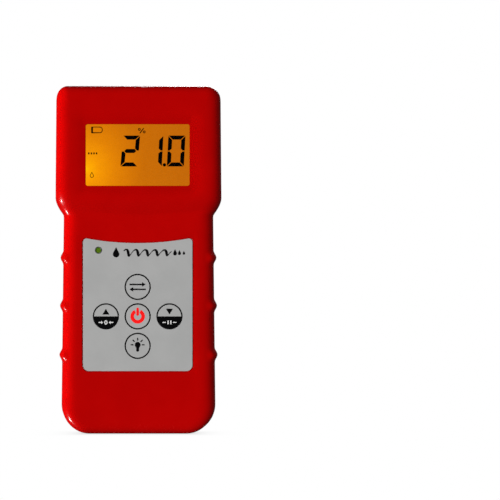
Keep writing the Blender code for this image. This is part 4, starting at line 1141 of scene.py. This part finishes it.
def build_figures():
    """The reading 21.0 in slanted seven-segment figures."""
    face = -low("lcd_glass").y
    marks = Marks("display_figures", face)
    bars = figure_segments()
    figures = (("2", -6.9 * MM, 5.0), ("1", 3.36 * MM, 3.0), ("0", 12.88 * MM, 3.0))
    for figure, left, slant in figures:
        lean = math.tan(math.radians(slant))
        for segment in SEGMENTS_LIT[figure]:
            bar = bars[segment]
            marks.plate([(left + x + (z - FIGURE_HEIGHT / 2) * lean, FIGURE_BOTTOM + z) for x, z in bar])
    marks.plate(circle((11.5 * MM, FIGURE_BOTTOM + 0.68 * MM), 0.74 * MM, 24))
    marks.finish("segment", "case", "lcd_glass")


def drop_outline(centre, radius, rise):
    """A water drop: a round foot and a pointed top."""
    points = arc((0, 0), radius, -215, 35, 20)
    return shifted(points + [(0, rise)], *centre)


def build_display_marks():
    """Small generic marks: battery, percent sign, a row of squares and a drop."""
    face = -low("lcd_glass").y
    dark = Marks("display_symbols", face)
    left, right = -19.7 * MM, -15.3 * MM
    bottom, top = 129.85 * MM, 132.3 * MM
    corner = 1.0 * MM
    cell = [(left, bottom), (right - corner, bottom)]
    cell += arc((right - corner, bottom + corner), corner, -90, 0, 4)[1:]
    cell += arc((right - corner, top - corner), corner, 0, 90, 4)
    cell += [(left, top)]
    dark.ribbon(cell, 0.34 * MM, True)
    dark.plate(rounded_rectangle(0.38 * MM, bottom - 0.17 * MM, top + 0.17 * MM, 0.1 * MM, 2, left))
    percent_x, percent_z = 1.75 * MM, 130.75 * MM
    dark.ribbon([(percent_x + side * 0.85 * MM, percent_z + side * 1.1 * MM) for side in (-1, 1)], 0.42 * MM)
    for side in (-1, 1):
        centre = (percent_x + side * 1.05 * MM, percent_z - side * 0.55 * MM)
        dark.ribbon(circle(centre, 0.42 * MM, 14), 0.34 * MM, True)
    dark.finish("segment", "case", "lcd_glass")
    faint = Marks("display_symbols_faint", face)
    for k in range(4):
        square = rounded_rectangle(0.3 * MM, -0.42 * MM, 0.42 * MM, 0.08 * MM, 2)
        faint.plate(shifted(square, -21.1 * MM + k * 1.12 * MM, 120.95 * MM))
    drop = drop_outline((-19.8 * MM, 111.3 * MM), 0.72 * MM, 1.5 * MM)
    faint.ribbon(drop, 0.26 * MM, True)
    faint.finish("segment_faint", "case", "lcd_glass")


def mark_function(marks, x, z):
    """Two opposed arrows: step through the functions."""
    head = (1.6 * MM, 1.0 * MM)
    for side in (1, -1):
        level = z + side * 1.05 * MM
        tip, tail = (x + side * 3.5 * MM, level), (x - side * 3.5 * MM, level)
        marks.plate(arrow(tip, tail, 0.66 * MM, head))


def mark_triangle(marks, x, z, up):
    rise = 1.25 * MM * (1 if up else -1)
    marks.plate([(x - 1.5 * MM, z - rise), (x + 1.5 * MM, z - rise), (x, z + rise)])


def mark_zero(marks, x, z):
    """Arrows closing on a nought: set the reading to nought."""
    turns = [2 * math.pi * k / 28 for k in range(28)]
    nought = [(x + 0.52 * MM * math.cos(t), z + 0.72 * MM * math.sin(t)) for t in turns]
    marks.ribbon(nought, 0.42 * MM, True)
    head = (0.85 * MM, 0.72 * MM)
    for side in (1, -1):
        tip, tail = (x + side * 1.2 * MM, z), (x + side * 3.2 * MM, z)
        marks.plate(arrow(tip, tail, 0.46 * MM, head))


def mark_hold(marks, x, z):
    """Two upright bars with a dash at each side: the reading stays."""
    for side in (1, -1):
        bar = rounded_rectangle(0.28 * MM, z - 0.85 * MM, z + 0.85 * MM, 0.08 * MM, 2, x + side * 0.6 * MM)
        marks.plate(bar)
        dash = rounded_rectangle(0.75 * MM, z - 0.22 * MM, z + 0.22 * MM, 0.1 * MM, 2, x + side * 2.3 * MM)
        marks.plate(dash)


def mark_power(marks, x, z):
    """A broken ring with an upright bar."""
    outer, inner = 3.1 * MM, 1.6 * MM
    middle_radius = (outer + inner) / 2
    ring = arc((x, z), middle_radius, 90 + 27, 450 - 27, 56)
    marks.ribbon(ring, outer - inner)
    marks.plate(rounded_rectangle(0.56 * MM, z + 0.25 * MM, z + 3.75 * MM, 0.5 * MM, 6, x))


def mark_light(marks, x, z):
    """A bulb with short rays."""
    bulb_z = z + 0.45 * MM
    bulb = arc((x, bulb_z), 1.25 * MM, -48, 228, 24)
    neck = 0.62 * MM
    bulb += [(x - neck, z - 0.95 * MM), (x - neck, z - 2.2 * MM), (x - neck + 0.3 * MM, z - 2.5 * MM)]
    bulb += [(x + neck - 0.3 * MM, z - 2.5 * MM), (x + neck, z - 2.2 * MM), (x + neck, z - 0.95 * MM)]
    marks.plate(bulb)
    for degrees in (0, 45, 90, 135, 180):
        turn = math.radians(degrees)
        across, up = math.cos(turn), math.sin(turn)
        start, end = 1.8 * MM, 3.0 * MM
        marks.ribbon(
            [(x + start * across, bulb_z + start * up), (x + end * across, bulb_z + end * up)], 0.5 * MM
        )


def build_key_marks():
    """Each key's printed symbols ride with its key."""
    for name, centre in KEYS.items():
        x, z = centre.x, centre.z
        body = f"button_{name}"
        marks = Marks(f"mark_{name}", KEY_FRONT)
        colour = "ink_black"
        if name == "function":
            mark_function(marks, x, z)
        elif name == "power":
            mark_power(marks, x, z)
            colour = "ink_red_painted_glow"
        elif name == "light":
            mark_light(marks, x, z)
        else:
            mark_triangle(marks, x, z + 2.05 * MM, name == "zero")
            pale = Marks(f"mark_{name}_pale", KEY_FRONT)
            (mark_zero if name == "zero" else mark_hold)(pale, x, z - 2.6 * MM)
            pale.finish("ink_white", body, "overlay_film")
        marks.finish(colour, body, "overlay_film")


def build_panel_graphic():
    """A drop and a brush-drawn wave, in place of a title, and a ring round the lamp."""
    marks = Marks("panel_graphic", PANEL_FRONT)
    base = PANEL_TOP - 6.2 * MM
    marks.plate(drop_outline((-9.3 * MM, base - 0.6 * MM), 1.4 * MM, 3.1 * MM))
    start, end = -6.0 * MM, 14.6 * MM
    crests = 5
    steps = 160
    wave = []
    for k in range(steps + 1):
        share = k / steps
        turn = 2 * math.pi * crests * share
        x = start + (end - start) * share + 0.5 * MM * math.sin(turn)
        wave.append((x, base + 1.4 * MM * (1 - 0.2 * share) * math.sin(turn + 0.6)))
    marks.ribbon(wave, lambda share: (0.74 + 0.44 * -math.cos(2 * math.pi * crests * share + 0.6)) * MM)
    for k, radius in enumerate((0.85, 0.68, 0.52)):
        marks.plate(drop_outline(((16.1 + 1.9 * k) * MM, base - 0.3 * MM), radius * MM, 2.2 * radius * MM))
    lamp_ring = circle((LAMP.x, LAMP.z), 1.46 * MM, 40)
    marks.ribbon(lamp_ring, 0.18 * MM, True)
    marks.finish("ink_black", "case", "overlay_film")


def build_key_gap_shade():
    """Black rings under the keys: painted shade, so that the gap round each key reads dark as part of its
    ring.
    """
    marks = Marks("key_gap_painted_shade", POCKET_FLOOR)
    radius, width = 5.15 * MM, 1.5 * MM
    for centre in KEYS.values():
        marks.ribbon(circle((centre.x, centre.z), radius, 72), width, True)
    marks.finish("ink_black", "case", "overlay_film")


# ---- Display and keypad ----


def build_window_lens():
    """The clear window behind the casing, its front edge eased."""
    half = (high("lcd_window") - low("lcd_window")) / 2
    outline = rectangle_outline(half.x, WINDOW_Z - half.z, WINDOW_Z + half.z, 1.5 * MM)
    lens = loft("window_lens", outline, edge_profile(high("lcd_window").y, low("lcd_window").y, 0.15 * MM))
    finish(lens, "lens", "clear_lens", "lcd_window")


def build_display_cell():
    """Two glass plates, the front one shorter, with the lit film over them."""
    lowest, highest = low("lcd_glass"), high("lcd_glass")
    outline = rectangle_outline(highest.x, lowest.z, highest.z, 1.2 * MM, 4)
    step = 0.7 * MM
    split = (lowest.y + highest.y) / 2
    profile = [
        (-0.1 * MM, highest.y), (0, highest.y - 0.1 * MM), (0, split), (-step, split - 0.02 * MM),
        (-step, lowest.y + 0.1 * MM), (-step - 0.1 * MM, lowest.y),
    ]
    cell = loft("display_cell", outline, profile)
    smooth_finish(cell)
    paint(cell, "display_edge", "display")
    for face in cell.data.polygons:
        face.material_index = 1 if face.normal.y < -0.9 and face.center.y < split - 0.5 * MM else 0
    seat(cell, "case", "lcd_glass", "lcd_glass")


def build_panel():
    """The film panel with a rounded edge, five key holes and the lamp's hole."""
    panel = loft("keypad_panel", panel_outline, edge_profile(-PANEL_BACK, -PANEL_FRONT, PANEL_EDGE))
    cutters = []
    for centre in KEYS.values():
        outline = circle_outline((centre.x, centre.z), KEY_RADIUS + KEY_GAP, 96)
        cutters.append(pocket("key_hole", -1, outline, PANEL_FRONT, PANEL_BACK - 1 * MM, 0.05 * MM))
    lamp = circle_outline((LAMP.x, LAMP.z), 1.3 * MM, 48)
    cutters.append(pocket("lamp_hole", -1, lamp, PANEL_FRONT, PANEL_BACK - 1 * MM, 0.1 * MM))
    apply_solids(panel, "DIFFERENCE", cutters)
    finish(panel, "film", "overlay_film", "keypad_overlay")


def build_key(name):
    """A raised key cell: printed ring, whose black runs down the side wall as painted shade for the gap round
    the key, eased rim, and a stalk behind that presses the switch.
    """
    centre = KEYS[name]
    rim = 0.16 * MM
    ring = KEY_RADIUS - KEY_RING_WIDTH
    profile = [(0, -KEY_FRONT), (2.4 * MM, -KEY_FRONT), (ring, -KEY_FRONT), (KEY_RADIUS - rim, -KEY_FRONT)]
    profile += [(KEY_RADIUS - rim + rim * s, -KEY_FRONT + rim * (1 - c)) for s, c in quarter(4, 1)]
    profile += [
        (KEY_RADIUS, -KEY_BACK), (KEY_STALK_RADIUS, -KEY_BACK),
        (KEY_STALK_RADIUS, -KEY_STALK_END - 0.2 * MM), (KEY_STALK_RADIUS - 0.2 * MM, -KEY_STALK_END),
        (0, -KEY_STALK_END),
    ]
    key = paint(turned(f"cap_{name}", profile, 96, (centre.x, 0, centre.z)), "film", "ink_black")
    split = name in ("zero", "hold")

    def print_or_painted_shade(at):
        # The ring on the front is print; its black carried down the side wall is painted shade for the gap
        # round the key.
        ring_print_and_side_shade = ring < math.hypot(at.x - centre.x, at.z - centre.z) and at.y < -KEY_BACK - 0.01 * MM
        lower_half = split and at.y < -KEY_FRONT + 0.01 * MM and at.z < centre.z
        return int(ring_print_and_side_shade or lower_half)

    split_paint(key, print_or_painted_shade)
    seat(key, f"button_{name}", "overlay_film", f"key_{name}")


def build_lamp():
    """A 3 mm lamp with its flange and two legs."""
    tip = low("indicator_led").y
    profile = [(LAMP_RADIUS * s, tip + LAMP_RADIUS * (1 - c)) for s, c in quarter(12)]
    rim = LAMP_RADIUS + 0.4 * MM
    flange_front, flange_back = -7.6 * MM, -6.6 * MM
    profile += [(LAMP_RADIUS, flange_front), (rim, flange_front), (rim, flange_back), (0, flange_back)]
    lamp = turned("lamp_dome", profile, 48, (LAMP.x, 0, LAMP.z))
    legs = [
        rod("leg", 0.25 * MM, (-6.8 * MM, high("indicator_led").y), (LAMP.x + side * 1 * MM, LAMP.z), 12)
        for side in (-1, 1)
    ]
    apply_solids(lamp, "UNION", legs)
    smooth_finish(lamp, 40)
    paint(lamp, "lamp", "tin")
    split_paint(lamp, lambda at: int(at.y > flange_back + 0.01 * MM))
    seat(lamp, "case", "green_led", "indicator_led")


# ---- Batteries ----


def build_cell(number):
    """A size AAA cell in a plain two-colour jacket, with its can showing at both ends."""
    node = f"battery_cell_{number}"
    lowest, highest = low(node), high(node)
    centre = (lowest + highest) / 2
    radius = (highest.x - lowest.x) / 2
    nub = 1.0 * MM
    length = highest.z - lowest.z - nub
    lip = 0.12 * MM
    profile = [
        (0, 0.35 * MM), (2.4 * MM, 0.35 * MM), (2.7 * MM, 0), (radius - 0.9 * MM, 0),
        (radius - 0.35 * MM, 0.12 * MM), (radius - lip, 0.45 * MM), (radius - lip, 0.62 * MM),
        (radius, 0.7 * MM), (radius, length * 0.76), (radius, length * 0.765), (radius, length - 1.0 * MM),
        (radius - 0.1 * MM, length - 0.75 * MM), (radius - 0.55 * MM, length - 0.5 * MM),
        (radius - 0.9 * MM, length - 0.35 * MM), (2.6 * MM, length - 0.3 * MM), (2.2 * MM, length),
        (1.95 * MM, length + 0.1 * MM), (1.9 * MM, length + 0.8 * MM), (1.7 * MM, length + nub),
        (0, length + nub),
    ]
    up = number % 2 == 1
    levels = [(r, lowest.z + z) if up else (r, highest.z - z) for r, z in profile]
    cell = turned(f"cell_{number}", levels, 64, (centre.x, centre.y, 0), True)
    paint(cell, "jacket", "band", "can")

    def part(at):
        height = at.z - lowest.z if up else highest.z - at.z
        reach = math.hypot(at.x - centre.x, at.y - centre.y)
        if height < 0.66 * MM or height > length - 0.4 * MM or reach < radius - 0.7 * MM:
            return 2
        return int(height > length * 0.762)

    split_paint(cell, part)
    seat(cell, "case", "cell_jacket", node)


def build_spring(number):
    """The conical coil on a cell's flat end, with closed end turns."""
    node = f"cell_spring_{number}"
    lowest, highest = low(node), high(node)
    centre = (lowest + highest) / 2
    wire = 0.35 * MM
    up = number % 2 == 1
    base, tip = (lowest.z + wire, highest.z - wire) if up else (highest.z - wire, lowest.z + wire)
    turns = 4
    steps = 28
    curve = bpy.data.curves.new(f"spring_{number}", "CURVE")
    curve.dimensions = "3D"
    curve.bevel_depth = wire
    curve.bevel_resolution = 3
    curve.use_fill_caps = True
    spline = curve.splines.new("POLY")
    spline.points.add(turns * steps)
    for k, point in enumerate(spline.points):
        share = k / (turns * steps)
        radius = (3.6 - 1.6 * share) * MM
        turn = 2 * math.pi * k / steps
        climb = smoothstep(share, 0.05, 0.97) * 0.5 + share * 0.5
        height = base + (tip - base) * climb
        point.co = (centre.x + radius * math.cos(turn), centre.y + radius * math.sin(turn), height, 1)
    seat(paint(link(f"spring_{number}", curve), "spring"), "case", "steel", node)


# ---- CAD nodes that stay, with finished materials ----

CARRIED = {
    "sensor_electrode": "copper",
    "lcd_frame": "black",
    "backlight_guide": "guide",
    "zebra_strip": "rubber",
    "switch_base": "chip",
    "switch_stem": "black",
    "main_board": "board",
    "microcontroller": "chip",
    "amplifier_chip": "chip",
    "crystal": "tin",
    "oscillator_coil": "chip",
    "reservoir_capacitor": "sleeve",
    "trimmer": "blue",
    "sensor_wire": "wire_black",
    "battery_wire_red": "wire_red",
    "battery_wire_black": "wire_black",
    "contact": "tin",
}


def finish_carried_nodes():
    for name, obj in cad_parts.items():
        if obj.hide_render:
            continue
        key = next(key for key in CARRIED if name.startswith(key))
        for slot in obj.material_slots:
            slot.material = MATERIALS[CARRIED[key]]


# ---- Stage: floor, world, lights, camera ----

CAMERA_X = 48.4 * MM
CAMERA_Z = 79.3 * MM
CAMERA_DISTANCE = 1.6
VIEW_WIDTH = 215.2 * MM  # at the plane of the display
VIEW_PLANE = -14 * MM


def make_floor():
    """A white floor that only the camera sees, with a soft contact shade round the foot."""
    bm = bmesh.new()
    bmesh.ops.create_grid(bm, x_segments=1, y_segments=1, size=40)
    bmesh.ops.translate(bm, verts=bm.verts, vec=(0, 0, -0.2 * MM))
    floor = place(bm, "floor")
    m = Nodes("floor")

    def beyond(axis, half_size):
        return m.math("MAXIMUM", m.math("SUBTRACT", m.math("ABSOLUTE", m.axis(axis)), half_size), 0.0)

    foot_half_width, foot_half_depth = 24 * MM, 9 * MM
    fade_per_metre = -220.0
    darkest = 0.22
    reach = m.hypot(beyond("X", foot_half_width), beyond("Y", foot_half_depth))
    shade = m.times(m.math("EXPONENT", m.times(reach, fade_per_metre)), darkest)
    glow = m.add("Emission", {"Color": (1.0, 1.0, 1.0), "Strength": m.math("SUBTRACT", 1.0, shade)})
    m.put(m.tree.nodes["Material Output"].inputs["Surface"], glow.outputs[0])
    floor.data.materials.append(m.material)
    for ray in ("diffuse", "glossy", "transmission", "shadow"):
        setattr(floor, f"visible_{ray}", False)


def make_world():
    """White behind the object; a dim room lights it, and an even dimmer one reflects in it."""
    world = bpy.data.worlds.new("studio")
    world.use_nodes = True
    bpy.context.scene.world = world
    nodes = world.node_tree.nodes
    links = world.node_tree.links
    path = nodes.new("ShaderNodeLightPath")

    def background(node, strength):
        node.inputs["Color"].default_value = (1, 1, 1, 1)
        node.inputs["Strength"].default_value = strength
        return node

    room, mirrored, seen = 0.05, 0.012, 1.0
    shown = background(nodes["Background"], room)
    for ray, strength in (("Is Glossy Ray", mirrored), ("Is Camera Ray", seen)):
        mix = nodes.new("ShaderNodeMixShader")
        brighter = background(nodes.new("ShaderNodeBackground"), strength)
        for k, socket in enumerate((path.outputs[ray], shown.outputs[0], brighter.outputs[0])):
            links.new(socket, mix.inputs[k])
        shown = mix
    links.new(shown.outputs[0], nodes["World Output"].inputs["Surface"])


def area_light(name, location, size, power, shines):
    """A soft rectangular light aimed at the middle of the meter; it only lights or only gleams."""
    data = bpy.data.lights.new(name, "AREA")
    data.shape = "RECTANGLE"
    data.size, data.size_y = size
    data.energy = power
    light = link(name, data)
    light.location = location
    aim = Vector((0, 0, BODY_HEIGHT / 2)) - light.location
    light.rotation_euler = aim.to_track_quat("-Z", "Y").to_euler()
    light.visible_glossy = shines != "light"
    light.visible_transmission = shines != "light"
    light.visible_diffuse = shines != "gleam"
    data.cycles.use_multiple_importance_sampling = shines != "light"


def make_lights():
    """Light from the left side and front, a weak fill, two lights behind, and two that only gleam."""
    area_light("side", (-1.42, 0.10, 0.05), (0.40, 0.70), 25.5, "light")
    area_light("front", (-0.68, -1.52, 0.0), (1.0, 1.0), 18.4, "light")
    area_light("fill", (0.90, -1.55, 0.26), (1.0, 1.0), 6, "light")
    area_light("rear", (0.35, 1.5, 0.55), (1.0, 1.0), 13.5, "light")
    area_light("rear_side", (-0.90, 1.3, 0.60), (0.6, 0.6), 8, "light")
    area_light("low_gleam", (-1.30, 0.0, -0.73), (0.14, 0.14), 12, "gleam")
    area_light("rear_gleam", (0.25, 1.35, 0.75), (0.60, 0.60), 9, "gleam")


def make_camera():
    data = bpy.data.cameras.new("camera")
    data.sensor_width = 36
    data.lens = data.sensor_width * CAMERA_DISTANCE / VIEW_WIDTH
    data.clip_start = 0.1
    data.clip_end = 100
    camera = link("camera", data)
    camera.location = (CAMERA_X, VIEW_PLANE - CAMERA_DISTANCE, CAMERA_Z)
    camera.rotation_euler = (math.pi / 2, 0, 0)
    bpy.context.scene.camera = camera
    bpy.context.scene.view_settings.view_transform = "Standard"


build_front_casing()
build_rear_casing()
build_battery_door()
build_sensor_cover()
build_screws()
build_window_lens()
build_display_cell()
build_figures()
build_display_marks()
build_panel()
build_panel_graphic()
# Painted shade: black rings behind the gaps round the keys.
build_key_gap_shade()
for key_name in KEYS:
    build_key(key_name)
build_key_marks()
build_lamp()
for cell_number in (1, 2, 3, 4):
    build_cell(cell_number)
    build_spring(cell_number)
finish_carried_nodes()
make_floor()
make_world()
make_lights()
make_camera()
